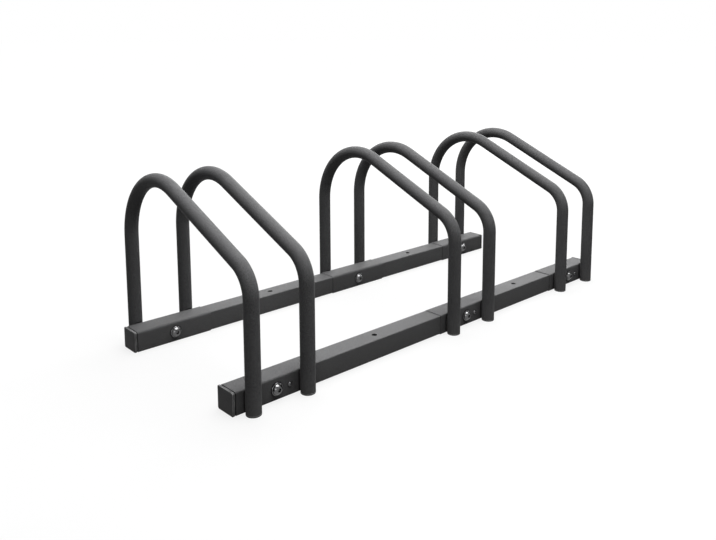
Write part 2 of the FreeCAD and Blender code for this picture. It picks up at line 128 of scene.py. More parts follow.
class SocketKind(Enum):
    """Types of a node group's sockets."""

    FLOAT = "NodeSocketFloat"
    INTEGER = "NodeSocketInt"
    GEOMETRY = "NodeSocketGeometry"
    MATERIAL = "NodeSocketMaterial"
    OBJECT = "NodeSocketObject"


class MixInput(IntEnum):
    """Inputs of a Mix node by number, because several share a name."""

    FACTOR = 0
    VALUE_A = 2
    VALUE_B = 3
    COLOR_A = 6
    COLOR_B = 7


class MixOutput(IntEnum):
    """Results of a Mix node by number."""

    VALUE = 0
    COLOR = 2


class RandomInput(IntEnum):
    """Inputs of a Random Value node by number, because several share a name."""

    LEAST_VECTOR = 0
    LARGEST_VECTOR = 1
    LEAST_VALUE = 2
    LARGEST_VALUE = 3


class RandomOutput(IntEnum):
    """Results of a Random Value node by number."""

    VECTOR = 0
    VALUE = 1


def put(tree: Tree, socket: Socket, value: Setting) -> None:
    """Links a socket to another socket, or sets its value.

    Args:
        tree: The tree that holds the socket.
        socket: An input socket.
        value: An output socket to link, or a plain value.
    """
    if isinstance(value, Socket):
        tree.links.new(value, socket)
    else:
        socket.default_value = value


def add(tree: Tree, kind: str, inputs: dict | None = None, **properties: Setting) -> Node:
    """Adds a node to a tree.

    Args:
        tree: The tree that gets the node.
        kind: The node's type name.
        inputs: Values or sockets for its inputs, by name or number.
        properties: Values for the node's own properties.

    Returns:
        The new node.
    """
    node = tree.nodes.new(kind)
    for name, value in properties.items():
        setattr(node, name, value)
    for name, value in (inputs or {}).items():
        put(tree, node.inputs[name], value)
    return node


def math_node(tree: Tree, operation: str, *values: Setting) -> Socket:
    """Adds a Math node of a shader or geometry tree and returns its result."""
    node = add(tree, "ShaderNodeMath", dict(enumerate(values)), operation=operation)
    return node.outputs[0]


@dataclass(frozen=True)
class GroupSocket:
    """A named socket of a node group, with its type and first value."""

    name: str
    kind: SocketKind
    value: Setting = None


def new_group(
    name: str, kind: TreeKind, inputs: Sequence[GroupSocket], outputs: Sequence[GroupSocket]
) -> GroupParts:
    """Makes an empty node group with named sockets.

    Args:
        name: The group's name.
        kind: The group's type.
        inputs: Its input sockets.
        outputs: Its output sockets.

    Returns:
        The tree, its input node and its output node.
    """
    tree = bpy.data.node_groups.new(name, kind.value)
    for way, sockets in (("INPUT", inputs), ("OUTPUT", outputs)):
        for entry in sockets:
            socket = tree.interface.new_socket(entry.name, in_out=way, socket_type=entry.kind.value)
            if entry.value is not None:
                socket.default_value = entry.value
    return tree, tree.nodes.new("NodeGroupInput"), tree.nodes.new("NodeGroupOutput")


def shader_group(name: str, inputs: dict[str, float], *outputs: str) -> GroupParts:
    """Makes an empty shader group whose sockets are plain numbers.

    Args:
        name: The group's name.
        inputs: First values of its inputs, by their names.
        outputs: Names of its outputs.

    Returns:
        The tree, its input node and its output node.
    """
    given = [GroupSocket(entry, SocketKind.FLOAT, value) for entry, value in inputs.items()]
    results = [GroupSocket(entry, SocketKind.FLOAT) for entry in outputs]
    return new_group(name, TreeKind.SHADER, given, results)


def geometry_group(name: str, inputs: dict[str, SocketKind]) -> GroupParts:
    """Makes an empty Geometry Nodes group that takes a shape and a finish, and gives a shape.

    Args:
        name: The group's name.
        inputs: Types of its other inputs, by their names.

    Returns:
        The tree, its input node and its output node.
    """
    shape = GroupSocket("Geometry", SocketKind.GEOMETRY)
    finish = GroupSocket("Finish", SocketKind.MATERIAL)
    given = [GroupSocket(entry, kind) for entry, kind in inputs.items()]
    return new_group(name, TreeKind.GEOMETRY, [shape, *given, finish], [shape])


# Shader effects that several finishes share


class SurfaceEffects:
    """Shader node groups for grain, edges lighter from wear and painted highlight, painted shade in recesses
    and floor dust, each built once.

    A detail is how many finer layers a noise has. RUB_FACING is how squarely the rounded surface faces the
    plain one, from flat to a sharp edge, and RECESS_OPENNESS how open a point is, from free to deep.
    """

    PLAIN_DETAIL = 1.0
    FINE_DETAIL = 2.0
    TONE_DETAIL = 3.0
    PATCH_DETAIL = 4.0
    DUST_DETAIL = 6.0
    RUB_SAMPLES = 6
    RUB_FACING = (0.995, 0.8)
    PATCH_SOFTNESS = 0.24
    RECESS_SAMPLES = 8
    RECESS_OPENNESS = (0.96, 0.62)

    def __init__(self) -> None:
        """Builds the four groups."""
        self.grain = self._grain()
        # Lighter edges: wear and a painted highlight along rounded edges.
        self.rub = self._rub()
        # Painted shade: the recess mask darkens recesses where little light reaches.
        self.recess = self._recess()
        self.dust = self._dust()

    @staticmethod
    def _noise(tree: Tree, size: Socket, detail: float) -> Socket:
        """Noise on Object coordinates whose features are about one size across.

        Args:
            tree: The group that gets the noise.
            size: The size of its features.
            detail: How many finer layers it has.

        Returns:
            The noise, which swings about 0.5.
        """
        place = add(tree, "ShaderNodeTexCoord").outputs["Object"]
        scale = math_node(tree, "DIVIDE", 1.0, size)
        noise = add(tree, "ShaderNodeTexNoise", {"Vector": place, "Scale": scale, "Detail": detail})
        return noise.outputs["Fac"]

    @staticmethod
    def _ramp(tree: Tree, value: Socket, start: Setting, end: Setting, way: str = "LINEAR") -> Socket:
        """Maps a value to 0 at a start and 1 at an end."""
        limits = {"Value": value, "From Min": start, "From Max": end}
        return add(tree, "ShaderNodeMapRange", limits, interpolation_type=way).outputs[0]

    @staticmethod
    def _give_mask(parts: GroupParts, mask: Socket) -> Tree:
        """Ends a group whose mask is scaled by its Amount.

        Args:
            parts: The group with its input and output nodes.
            mask: The full mask.

        Returns:
            The group.
        """
        tree, given, result = parts
        put(tree, result.inputs["Mask"], math_node(tree, "MULTIPLY", mask, given.outputs["Amount"]))
        return tree

    def _grain(self) -> Tree:
        """Fine grain over a slower orange peel, with specks and a slow change of tone.

        Returns:
            The group.
        """
        sizes = {
            "Grain Size": 0.5 * MM,
            "Peel Size": 3 * MM,
            "Peel Share": 0.5,
            "Speck Size": 1.2 * MM,
            "Tone Size": 60 * MM,
        }
        tree, given, result = shader_group("Surface Grain", sizes, "Height", "Specks", "Tone")
        height = add(tree, "ShaderNodeMix", {MixInput.FACTOR: given.outputs["Peel Share"]})
        fine = self._noise(tree, given.outputs["Grain Size"], self.FINE_DETAIL)
        put(tree, height.inputs[MixInput.VALUE_A], fine)
        peel = self._noise(tree, given.outputs["Peel Size"], self.PLAIN_DETAIL)
        put(tree, height.inputs[MixInput.VALUE_B], peel)
        put(tree, result.inputs["Height"], height.outputs[MixOutput.VALUE])
        specks = self._noise(tree, given.outputs["Speck Size"], self.PLAIN_DETAIL)
        put(tree, result.inputs["Specks"], specks)
        tone = self._noise(tree, given.outputs["Tone Size"], self.TONE_DETAIL)
        put(tree, result.inputs["Tone"], tone)
        return tree

    def _rub(self) -> Tree:
        """A mask of edges, broken up by patches, that are painted lighter: partly wear where the finish is
        rubbed thin, partly a painted highlight where rounded edges catch the light.

        Returns:
            The group.
        """
        sizes = {"Width": 1.0 * MM, "Patch Size": 8 * MM, "Bare Share": 0.66, "Amount": 0.5}
        tree, given, result = shader_group("Rubbed Edges", sizes, "Mask")
        # The bevel normal finds the edges to lighten; beside wear this paints the highlight that a rounded
        # edge catches.
        rounded = add(tree, "ShaderNodeBevel", {"Radius": given.outputs["Width"]}, samples=self.RUB_SAMPLES)
        plain = add(tree, "ShaderNodeNewGeometry").outputs["Normal"]
        normals = {0: rounded.outputs[0], 1: plain}
        facing = add(tree, "ShaderNodeVectorMath", normals, operation="DOT_PRODUCT").outputs["Value"]
        edge = self._ramp(tree, facing, *self.RUB_FACING)
        bare = given.outputs["Bare Share"]
        spots = self._noise(tree, given.outputs["Patch Size"], self.PATCH_DETAIL)
        patch = self._ramp(tree, spots, math_node(tree, "SUBTRACT", bare, self.PATCH_SOFTNESS), bare)
        return self._give_mask((tree, given, result), math_node(tree, "MULTIPLY", edge, patch))

    def _recess(self) -> Tree:
        """A mask of painted shade in grooves, sockets and inner corners, darker where less light gets in.

        Returns:
            The group.
        """
        tree, given, result = shader_group("Shaded Recesses", {"Reach": 1.5 * MM, "Amount": 0.8}, "Mask")
        reach = {"Distance": given.outputs["Reach"]}
        # Ambient occlusion drives the painted shade: the more hemmed in a point is, the darker its colour.
        opened = add(tree, "ShaderNodeAmbientOcclusion", reach, samples=self.RECESS_SAMPLES)
        deep = self._ramp(tree, opened.outputs["AO"], *self.RECESS_OPENNESS)
        return self._give_mask((tree, given, result), deep)

    def _dust(self) -> Tree:
        """A mask of dust that thins out with height above the floor.

        Returns:
            The group.
        """
        sizes = {"Height": 40 * MM, "Speck Size": 4 * MM, "Amount": 0.2}
        tree, given, result = shader_group("Floor Dust", sizes, "Mask")
        place = add(tree, "ShaderNodeTexCoord").outputs["Object"]
        height = add(tree, "ShaderNodeSeparateXYZ", {0: place}).outputs["Z"]
        low = self._ramp(tree, height, given.outputs["Height"], 0.0, "SMOOTHSTEP")
        speck = self._noise(tree, given.outputs["Speck Size"], self.DUST_DETAIL)
        return self._give_mask((tree, given, result), math_node(tree, "MULTIPLY", low, speck))


# The range that most of a noise lies in
NOISE_LEAST = 0.25
NOISE_LARGEST = 0.75


@dataclass(frozen=True)
class Finish:
    """A surface finish: a base colour with tone, grain, edges lighter from wear and painted highlight, dust
    and painted shade in recesses over it.
    """

    name: str
    color: Color
    tone_spread: float
    speck_size: float
    speck_spread: float
    roughness: tuple[float, float]
    specular: float
    metallic: float
    grain_size: float
    peel_size: float
    peel_share: float
    bump: float
    bump_depth: float
    rub_color: Color
    rub_width: float
    rub_share: float
    rub_amount: float
    recess_color: Color
    recess_reach: float
    recess_amount: float
    dust_color: Color
    dust_amount: float

    def build(self, effects: SurfaceEffects) -> Material:
        """Makes the finish's material.

        Args:
            effects: The shared shader groups.

        Returns:
            The material.
        """
        material = bpy.data.materials.new(self.name)
        material.use_nodes = True
        tree = material.node_tree
        shader = tree.nodes["Principled BSDF"]
        grain = self._grain(tree, effects)
        put(tree, shader.inputs["Base Color"], self._layers(tree, effects, self._base(tree, grain)))
        rough = add(tree, "ShaderNodeMapRange", {"Value": grain.outputs["Tone"]})
        put(tree, rough.inputs["To Min"], self.roughness[0])
        put(tree, rough.inputs["To Max"], self.roughness[1])
        put(tree, shader.inputs["Roughness"], rough.outputs[0])
        bump = add(tree, "ShaderNodeBump", {"Strength": self.bump, "Distance": self.bump_depth})
        put(tree, bump.inputs["Height"], grain.outputs["Height"])
        put(tree, shader.inputs["Normal"], bump.outputs[0])
        put(tree, shader.inputs["Metallic"], self.metallic)
        put(tree, shader.inputs["Specular IOR Level"], self.specular)
        return material

    def _grain(self, tree: Tree, effects: SurfaceEffects) -> Node:
        """Places the grain group with this finish's sizes.

        Args:
            tree: The material's tree.
            effects: The shared shader groups.

        Returns:
            The group's node.
        """
        sizes = {
            "Grain Size": self.grain_size,
            "Peel Size": self.peel_size,
            "Peel Share": self.peel_share,
            "Speck Size": self.speck_size,
        }
        return add(tree, "ShaderNodeGroup", sizes, node_tree=effects.grain)

    def _base(self, tree: Tree, grain: Node) -> Socket:
        """The base colour, changed by the slow tone and the specks.

        Args:
            tree: The material's tree.
            grain: The grain group's node.

        Returns:
            The colour.
        """
        tone = self._around_one(tree, grain.outputs["Tone"], self.tone_spread)
        specks = self._around_one(tree, grain.outputs["Specks"], self.speck_spread)
        shade = math_node(tree, "MULTIPLY", tone, specks)
        base = add(tree, "ShaderNodeVectorMath", {0: self.color, "Scale": shade}, operation="SCALE")
        return base.outputs[0]

    def _layers(self, tree: Tree, effects: SurfaceEffects, color: Socket) -> Socket:
        """Lays the lighter edges (wear and painted highlight), the dust and the painted shade in recesses
        over the base colour.

        Args:
            tree: The material's tree.
            effects: The shared shader groups.
            color: The base colour.

        Returns:
            The finished colour.
        """
        rub = {"Width": self.rub_width, "Bare Share": self.rub_share, "Amount": self.rub_amount}
        dust = {"Amount": self.dust_amount}
        recess = {"Reach": self.recess_reach, "Amount": self.recess_amount}
        # Edges get lighter (wear and painted highlight) and recesses get darker (painted shade).
        layers = (
            (effects.rub, rub, self.rub_color),
            (effects.dust, dust, self.dust_color),
            (effects.recess, recess, self.recess_color),
        )
        for group, values, over in layers:
            effect = add(tree, "ShaderNodeGroup", values, node_tree=group)
            mix = add(tree, "ShaderNodeMix", data_type="RGBA")
            put(tree, mix.inputs[MixInput.FACTOR], effect.outputs["Mask"])
            put(tree, mix.inputs[MixInput.COLOR_A], color)
            put(tree, mix.inputs[MixInput.COLOR_B], (*over, 1.0))
            color = mix.outputs[MixOutput.COLOR]
        return color

    @staticmethod
    def _around_one(tree: Tree, noise: Socket, spread: float) -> Socket:
        """Maps noise to a factor that swings around 1.

        Args:
            tree: The material's tree.
            noise: The noise.
            spread: How far the factor goes from 1 each way.

        Returns:
            The factor.
        """
        swing = add(tree, "ShaderNodeMapRange", {"Value": noise})
        put(tree, swing.inputs["From Min"], NOISE_LEAST)
        put(tree, swing.inputs["From Max"], NOISE_LARGEST)
        put(tree, swing.inputs["To Min"], 1.0 - spread)
        put(tree, swing.inputs["To Max"], 1.0 + spread)
        return swing.outputs[0]


POWDER_COAT = Finish(
    name="satin_black_powder_coat",
    color=(0.05, 0.05, 0.051),
    tone_spread=0.06,
    speck_size=1.0 * MM,
    speck_spread=0.4,
    roughness=(0.46, 0.58),
    specular=0.015,
    metallic=0.0,
    grain_size=0.55 * MM,
    peel_size=2.6 * MM,
    peel_share=0.35,
    bump=0.25,
    bump_depth=0.12 * MM,
    # Lighter edges: wear with a painted highlight.
    rub_color=(0.11, 0.11, 0.11),
    rub_width=0.8 * MM,
    rub_share=0.66,
    rub_amount=0.35,
    # Painted shade in recesses, seams and sleeve ends.
    recess_color=(0.006, 0.006, 0.006),
    recess_reach=2.4 * MM,
    recess_amount=0.9,
    dust_color=(0.22, 0.21, 0.20),
    dust_amount=0.10,
)
MOULDED_PLASTIC = Finish(
    name="matt_black_moulded_plastic",
    color=(0.05, 0.05, 0.051),
    tone_spread=0.05,
    speck_size=1.0 * MM,
    speck_spread=0.15,
    roughness=(0.52, 0.64),
    specular=0.03,
    metallic=0.0,
    grain_size=0.8 * MM,
    peel_size=1.6 * MM,
    peel_share=0.2,
    bump=0.35,
    bump_depth=0.10 * MM,
    # Mostly a painted highlight along the caps' and plugs' rounded edges, with some wear.
    rub_color=(0.26, 0.26, 0.26),
    rub_width=2.2 * MM,
    rub_share=0.5,
    rub_amount=1.0,
    # Painted shade in the cap's seam groove and other recesses.
    recess_color=(0.005, 0.005, 0.005),
    recess_reach=1.6 * MM,
    recess_amount=0.95,
    dust_color=(0.24, 0.23, 0.22),
    dust_amount=0.14,
)
BLACK_ZINC = Finish(
    name="black_zinc_plate",
    color=(0.1, 0.1, 0.102),
    tone_spread=0.15,
    speck_size=0.6 * MM,
    speck_spread=0.15,
    roughness=(0.17, 0.25),
    specular=0.5,
    metallic=1.0,
    grain_size=0.35 * MM,
    peel_size=1.2 * MM,
    peel_share=0.3,
    bump=0.12,
    bump_depth=0.04 * MM,
    # Lighter edges: wear and a painted highlight on washer and head rims.
    rub_color=(0.3, 0.3, 0.31),
    rub_width=0.4 * MM,
    rub_share=0.66,
    rub_amount=0.3,
    # Painted shade in the bolt sockets and around the heads.
    recess_color=(0.02, 0.02, 0.02),
    recess_reach=2.2 * MM,
    recess_amount=0.9,
    dust_color=(0.20, 0.19, 0.18),
    dust_amount=0.06,
)
BLACKENED_STEEL = replace(
    BLACK_ZINC,
    name="blackened_steel",
    color=(0.075, 0.075, 0.077),
    roughness=(0.38, 0.48),
    # Lighter edges: wear and a painted highlight.
    rub_color=(0.16, 0.16, 0.165),
    rub_share=0.6,
    rub_amount=0.5,
    # Painted shade in the cross recess.
    recess_color=(0.01, 0.01, 0.01),
    recess_reach=1.2 * MM,
)


# Meshes

LEAST_RADIUS = 0.3 * MM
CORNER_STEPS = 6
TOP_CORNER = {Side.REAR: 0, Side.FRONT: 1}
SHARP_ANGLE = math.radians(32)


@dataclass(frozen=True)
class TubeSection:
    """A rectangle with rounded corners across the X axis, its depth along Y and its height along Z.

    The corners' radii go round from the rear top over the front top and front bottom to the rear bottom.
    """

    depth: float
    height: float
    radii: tuple[float, float, float, float]

    @classmethod
    def of_box(cls, low: Vector, high: Vector, radius: float) -> "TubeSection":
        """The section that fills a node's box, with equal corners."""
        return cls(high.y - low.y, high.z - low.z, (radius,) * 4)

    def inside(self, gap: float) -> "TubeSection":
        """The section that lies inside this one by a gap all round."""
        radii = tuple(max(radius - gap, LEAST_RADIUS) for radius in self.radii)
        return TubeSection(self.depth - 2 * gap, self.height - 2 * gap, radii)

    def rounded(self, side: Side, radius: float) -> "TubeSection":
        """The section with another radius at one top corner.

        Args:
            side: The side that the corner lies on.
            radius: The corner's radius.

        Returns:
            The changed section.
        """
        radii = list(self.radii)
        radii[TOP_CORNER[side]] = radius
        return TubeSection(self.depth, self.height, tuple(radii))

    def ring(self, x: float, centre: Vector) -> Ring:
        """Places the section's points along X.

        Args:
            x: Where it lies along X.
            centre: The tube's centre line, of which Y and Z count.

        Returns:
            The ring's points.
        """
        points = []
        for corner, radius in enumerate(self.radii):
            middle = QUARTER_TURN / 2 + QUARTER_TURN * corner
            near_y = math.copysign(self.depth / 2 - radius, math.cos(middle))
            near_z = math.copysign(self.height / 2 - radius, math.sin(middle))
            for step in range(CORNER_STEPS + 1):
                angle = QUARTER_TURN * (corner + step / CORNER_STEPS)
                across = near_y + radius * math.cos(angle)
                up = near_z + radius * math.sin(angle)
                points.append(Vector((x, centre.y + across, centre.z + up)))
        return points


def polar_ring(radius: Rule | float, height: Rule | float, facets: int) -> Ring:
    """A ring about the Z axis whose radius and height may change with the angle.

    Args:
        radius: The radius, or a function of the angle.
        height: The height, or a function of the angle.
        facets: How many points it has.

    Returns:
        The ring's points.
    """
    points = []
    for step in range(facets):
        angle = math.tau * step / facets
        reach = radius(angle) if callable(radius) else radius
        level = height(angle) if callable(height) else height
        points.append(Vector((reach * math.cos(angle), reach * math.sin(angle), level)))
    return points


def lofted(rings: Sequence[Ring], closed: bool) -> Mesh:
    """Joins rings of equal length to a closed shell with its faces outwards.

    Args:
        rings: The rings in order.
        closed: True to join the last ring to the first, False to fill both.

    Returns:
        The mesh.
    """
    shell = bmesh.new()
    loops = [[shell.verts.new(point) for point in ring] for ring in rings]
    follow = loops[1:] + loops[:1] if closed else loops[1:]
    for near, far in zip(loops, follow):
        for step in range(len(near)):
            after = (step + 1) % len(near)
            shell.faces.new((near[step], near[after], far[after], far[step]))
    if not closed:
        shell.faces.new(loops[0])
        shell.faces.new(loops[-1])
    bmesh.ops.recalc_face_normals(shell, faces=shell.faces)
    if shell.calc_volume(signed=True) < 0:
        bmesh.ops.reverse_faces(shell, faces=shell.faces)
    mesh = bpy.data.meshes.new("shell")
    shell.to_mesh(mesh)
    shell.free()
    return mesh


def point_mesh(points: Sequence[Vector]) -> Mesh:
    """Makes a mesh of single points, for copies to stand on.

    Args:
        points: The points.

    Returns:
        The mesh.
    """
    mesh = bpy.data.meshes.new("places")
    mesh.from_pydata([tuple(point) for point in points], [], [])
    return mesh


def smooth(mesh: Mesh) -> None:
    """Shades a mesh smooth, with its sharp edges kept."""
    mesh.shade_smooth()
    mesh.set_sharp_from_angle(angle=SHARP_ANGLE)


def new_object(name: str, mesh: Mesh, material: Material | None = None) -> Piece:
    """Puts a mesh into the scene.

    Args:
        name: The name of the object and its mesh.
        mesh: The mesh.
        material: The mesh's material, if it has one yet.

    Returns:
        The object.
    """
    mesh.name = name
    if material is not None:
        mesh.materials.append(material)
    piece = bpy.data.objects.new(name, mesh)
    bpy.context.scene.collection.objects.link(piece)
    return piece


def bake(piece: Piece) -> None:
    """Turns what a piece's modifiers make into its plain mesh.

    Args:
        piece: The piece, which loses its modifiers.
    """
    depsgraph = bpy.context.evaluated_depsgraph_get()
    mesh = bpy.data.meshes.new_from_object(piece.evaluated_get(depsgraph), depsgraph=depsgraph)
    mesh.name = piece.name
    piece.modifiers.clear()
    piece.data = mesh
    smooth(mesh)


def run_nodes(piece: Piece, tree: Tree, values: dict[str, Setting]) -> None:
    """Gives a piece a Geometry Nodes modifier with its inputs set by their identifiers.

    Args:
        piece: The piece.
        tree: The Geometry Nodes tree.
        values: Values of the tree's inputs, by their names.
    """
    modifier = piece.modifiers.new(tree.name, "NODES")
    modifier.node_group = tree
    for item in tree.interface.items_tree:
        if item.item_type == "SOCKET" and item.in_out == "INPUT" and item.name in values:
            modifier[item.identifier] = values[item.name]


def hand_in(piece: Piece, slot: Slot, *nodes: str) -> None:
    """Lets a finished piece ride on the rack, in place of its nodes.

    Args:
        piece: The finished piece.
        slot: The slot that its finish belongs to. Not used.
        nodes: The nodes that it stands for.
    """
    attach(piece, BODY)
    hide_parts(*nodes)
    LOG.info("%s: %d faces", piece.name, len(piece.data.polygons))


def sleeve_node(module: int, side: Side) -> str:
    """The name of a sleeve's node."""
    return f"module_{module}_{side.word}_sleeve"


def middle_of(node: str) -> Vector:
    """The middle of a node's box."""
    low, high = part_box(node)
    return (low + high) / 2


# Geometry Nodes trees

# A bead's facets along and around it, how soon it is full, how round its ends are, and how thin they get
BEAD_STEPS = 72
BEAD_FACETS = 14
BEAD_FULLNESS = 14.0
BEAD_ROUNDNESS = 0.5
BEAD_END = 0.1


@dataclass(frozen=True)
class PieceTrees:
    """The Geometry Nodes trees of the rack's pieces."""

    hoop: Tree
    weld: Tree
    fastener: Tree


def close_tree(parts: GroupParts, shape: Socket) -> Tree:
    """Ends a tree: smooth shading, realized instances and the material.

    Args:
        parts: The tree with its input and output nodes.
        shape: The shape to finish.

    Returns:
        The tree.
    """
    tree, given, result = parts
    shaded = add(tree, "GeometryNodeSetShadeSmooth", {"Geometry": shape})
    real = add(tree, "GeometryNodeRealizeInstances", {"Geometry": shaded.outputs[0]})
    dressed = add(tree, "GeometryNodeSetMaterial", {"Geometry": real.outputs[0]})
    put(tree, dressed.inputs["Material"], given.outputs["Finish"])
    put(tree, result.inputs["Geometry"], dressed.outputs[0])
    return tree


def hoop_tree() -> Tree:
    """A tube along a path of four corners, the middle two of them bent to their own radius.

    Returns:
        The tree.
    """
    places = (("Rear Y", "Foot"), ("Rear Y", "Rear Corner"), ("Front Y", "Front Corner"), ("Front Y", "Foot"))
    lengths = ("X", "Rear Y", "Front Y", "Foot", "Rear Corner", "Front Corner", "Rear Bend", "Front Bend")
    inputs = dict.fromkeys((*lengths, "Tube Radius"), SocketKind.FLOAT)
    inputs |= dict.fromkeys(("Bend Facets", "Tube Facets"), SocketKind.INTEGER)
    tree, given, result = geometry_group("Bent Hoop Tube", inputs)
    value = given.outputs
    line = add(tree, "GeometryNodeCurvePrimitiveLine")
    path = add(tree, "GeometryNodeResampleCurve", {"Curve": line.outputs[0], "Count": len(places)})
    number = add(tree, "GeometryNodeInputIndex").outputs[0]
    corners = add(tree, "GeometryNodeIndexSwitch", {"Index": number}, data_type="VECTOR")
    radii = add(tree, "GeometryNodeIndexSwitch", {"Index": number}, data_type="FLOAT")
    for switch in (corners, radii):
        while len(switch.index_switch_items) < len(places):
            switch.index_switch_items.new()
    for step, (depth, height) in enumerate(places):
        corner = add(tree, "ShaderNodeCombineXYZ", {"X": value["X"], "Y": value[depth], "Z": value[height]})
        put(tree, corners.inputs[str(step)], corner.outputs[0])
    put(tree, radii.inputs["1"], value["Rear Bend"])
    put(tree, radii.inputs["2"], value["Front Bend"])
    placed = add(tree, "GeometryNodeSetPosition", {"Geometry": path.outputs[0]})
    put(tree, placed.inputs["Position"], corners.outputs[0])
    bent = add(tree, "GeometryNodeFilletCurve", {"Curve": placed.outputs[0]}, mode="POLY")
    put(tree, bent.inputs["Count"], value["Bend Facets"])
    put(tree, bent.inputs["Radius"], radii.outputs[0])
    section = add(tree, "GeometryNodeCurvePrimitiveCircle", {"Resolution": value["Tube Facets"]})
    put(tree, section.inputs["Radius"], value["Tube Radius"])
    tube = add(tree, "GeometryNodeCurveToMesh", {"Curve": bent.outputs[0]})
    put(tree, tube.inputs["Profile Curve"], section.outputs[0])
    return close_tree((tree, given, result), tube.outputs[0])


def weld_tree() -> Tree:
    """Rippled weld beads that stand upright on the points they are given.

    Returns:
        The tree.
    """
    lengths = ("Length", "Bead Radius", "Ripple Pitch", "Ripple Depth")
    inputs = dict.fromkeys(lengths, SocketKind.FLOAT) | {"Seed": SocketKind.INTEGER}
    tree, given, result = geometry_group("Weld Beads", inputs)
    value = given.outputs
    half = math_node(tree, "MULTIPLY", value["Length"], 0.5)
    top = add(tree, "ShaderNodeCombineXYZ", {"Z": half})
    bottom = add(tree, "ShaderNodeCombineXYZ", {"Z": math_node(tree, "MULTIPLY", half, -1.0)})
    line = add(tree, "GeometryNodeCurvePrimitiveLine", {"Start": bottom.outputs[0], "End": top.outputs[0]})
    run = add(tree, "GeometryNodeResampleCurve", {"Curve": line.outputs[0], "Count": BEAD_STEPS})
    place = add(tree, "GeometryNodeSplineParameter").outputs
    turns = math_node(tree, "DIVIDE", place["Length"], value["Ripple Pitch"])
    wave = math_node(tree, "SINE", math_node(tree, "MULTIPLY", turns, math.pi))
    ripple = math_node(tree, "MULTIPLY", math_node(tree, "ABSOLUTE", wave), value["Ripple Depth"])
    left = math_node(tree, "SUBTRACT", 1.0, place["Factor"])
    ends = math_node(tree, "MULTIPLY", place["Factor"], left)
    grown = math_node(tree, "POWER", math_node(tree, "MULTIPLY", ends, BEAD_FULLNESS), BEAD_ROUNDNESS)
    taper = math_node(tree, "MAXIMUM", BEAD_END, math_node(tree, "MINIMUM", 1.0, grown))
    width = math_node(tree, "MULTIPLY", math_node(tree, "ADD", value["Bead Radius"], ripple), taper)
    section = add(tree, "GeometryNodeCurvePrimitiveCircle", {"Resolution": BEAD_FACETS, "Radius": 1.0})
    bead = add(tree, "GeometryNodeCurveToMesh", {"Curve": run.outputs[0], "Scale": width, "Fill Caps": True})
    put(tree, bead.inputs["Profile Curve"], section.outputs[0])
    swing = add(tree, "FunctionNodeRandomValue", {"Seed": value["Seed"]}, data_type="FLOAT_VECTOR")
    put(tree, swing.inputs[RandomInput.LEAST_VECTOR], (0.0, 0.0, 0.0))
    put(tree, swing.inputs[RandomInput.LARGEST_VECTOR], (0.0, 0.0, math.tau))
    beads = add(tree, "GeometryNodeInstanceOnPoints", {"Points": value["Geometry"]})
    put(tree, beads.inputs["Instance"], bead.outputs[0])
    put(tree, beads.inputs["Rotation"], swing.outputs[RandomOutput.VECTOR])
    return close_tree((tree, given, result), beads.outputs[0])


def fastener_tree() -> Tree:
    """Copies one fastener to the points it is given, each turned about its own axis, which lies along Y.

    Returns:
        The tree.
    """
    inputs = {
        "Fastener": SocketKind.OBJECT,
        "Largest Turn": SocketKind.FLOAT,
        "Seed": SocketKind.INTEGER,
    }
    tree, given, result = geometry_group("Fastener Row", inputs)
    value = given.outputs
    source = add(tree, "GeometryNodeObjectInfo", {"Object": value["Fastener"]}, transform_space="ORIGINAL")
    turn = add(tree, "FunctionNodeRandomValue", {"Seed": value["Seed"]}, data_type="FLOAT")
    put(tree, turn.inputs[RandomInput.LEAST_VALUE], 0.0)
    put(tree, turn.inputs[RandomInput.LARGEST_VALUE], value["Largest Turn"])
    about = add(tree, "ShaderNodeCombineXYZ", {"Y": turn.outputs[RandomOutput.VALUE]})
    copies = add(tree, "GeometryNodeInstanceOnPoints", {"Points": value["Geometry"]})
    put(tree, copies.inputs["Instance"], source.outputs["Geometry"])
    put(tree, copies.inputs["Rotation"], about.outputs[0])
    return close_tree((tree, given, result), copies.outputs[0])


# The rack's sub-assemblies


@dataclass(frozen=True)
class Finishes:
    """The materials of the rack's pieces."""

    steel: Material
    plastic: Material
    zinc: Material
    blackened: Material


@dataclass(frozen=True)
class RibbedStem:
    """The hollow plastic stem by which a plug or a cap grips the inside of its tube."""

    gap: float = 0.15 * MM
    wall: float = 1.8 * MM
    rib_depth: float = 0.8 * MM
    rib_width: float = 1.2 * MM
    rib_count: int = 3

    def ribs(self, length: float) -> Iterator[tuple[float, float]]:
        """Spaces the ribs evenly along the stem.

        Args:
            length: The stem's length.

        Yields:
            Where a rib starts and ends, from the stem's foot.
        """
        pitch = length / self.rib_count
        for rib in range(self.rib_count):
            start = pitch * rib + (pitch - self.rib_width) / 2
            yield start, start + self.rib_width


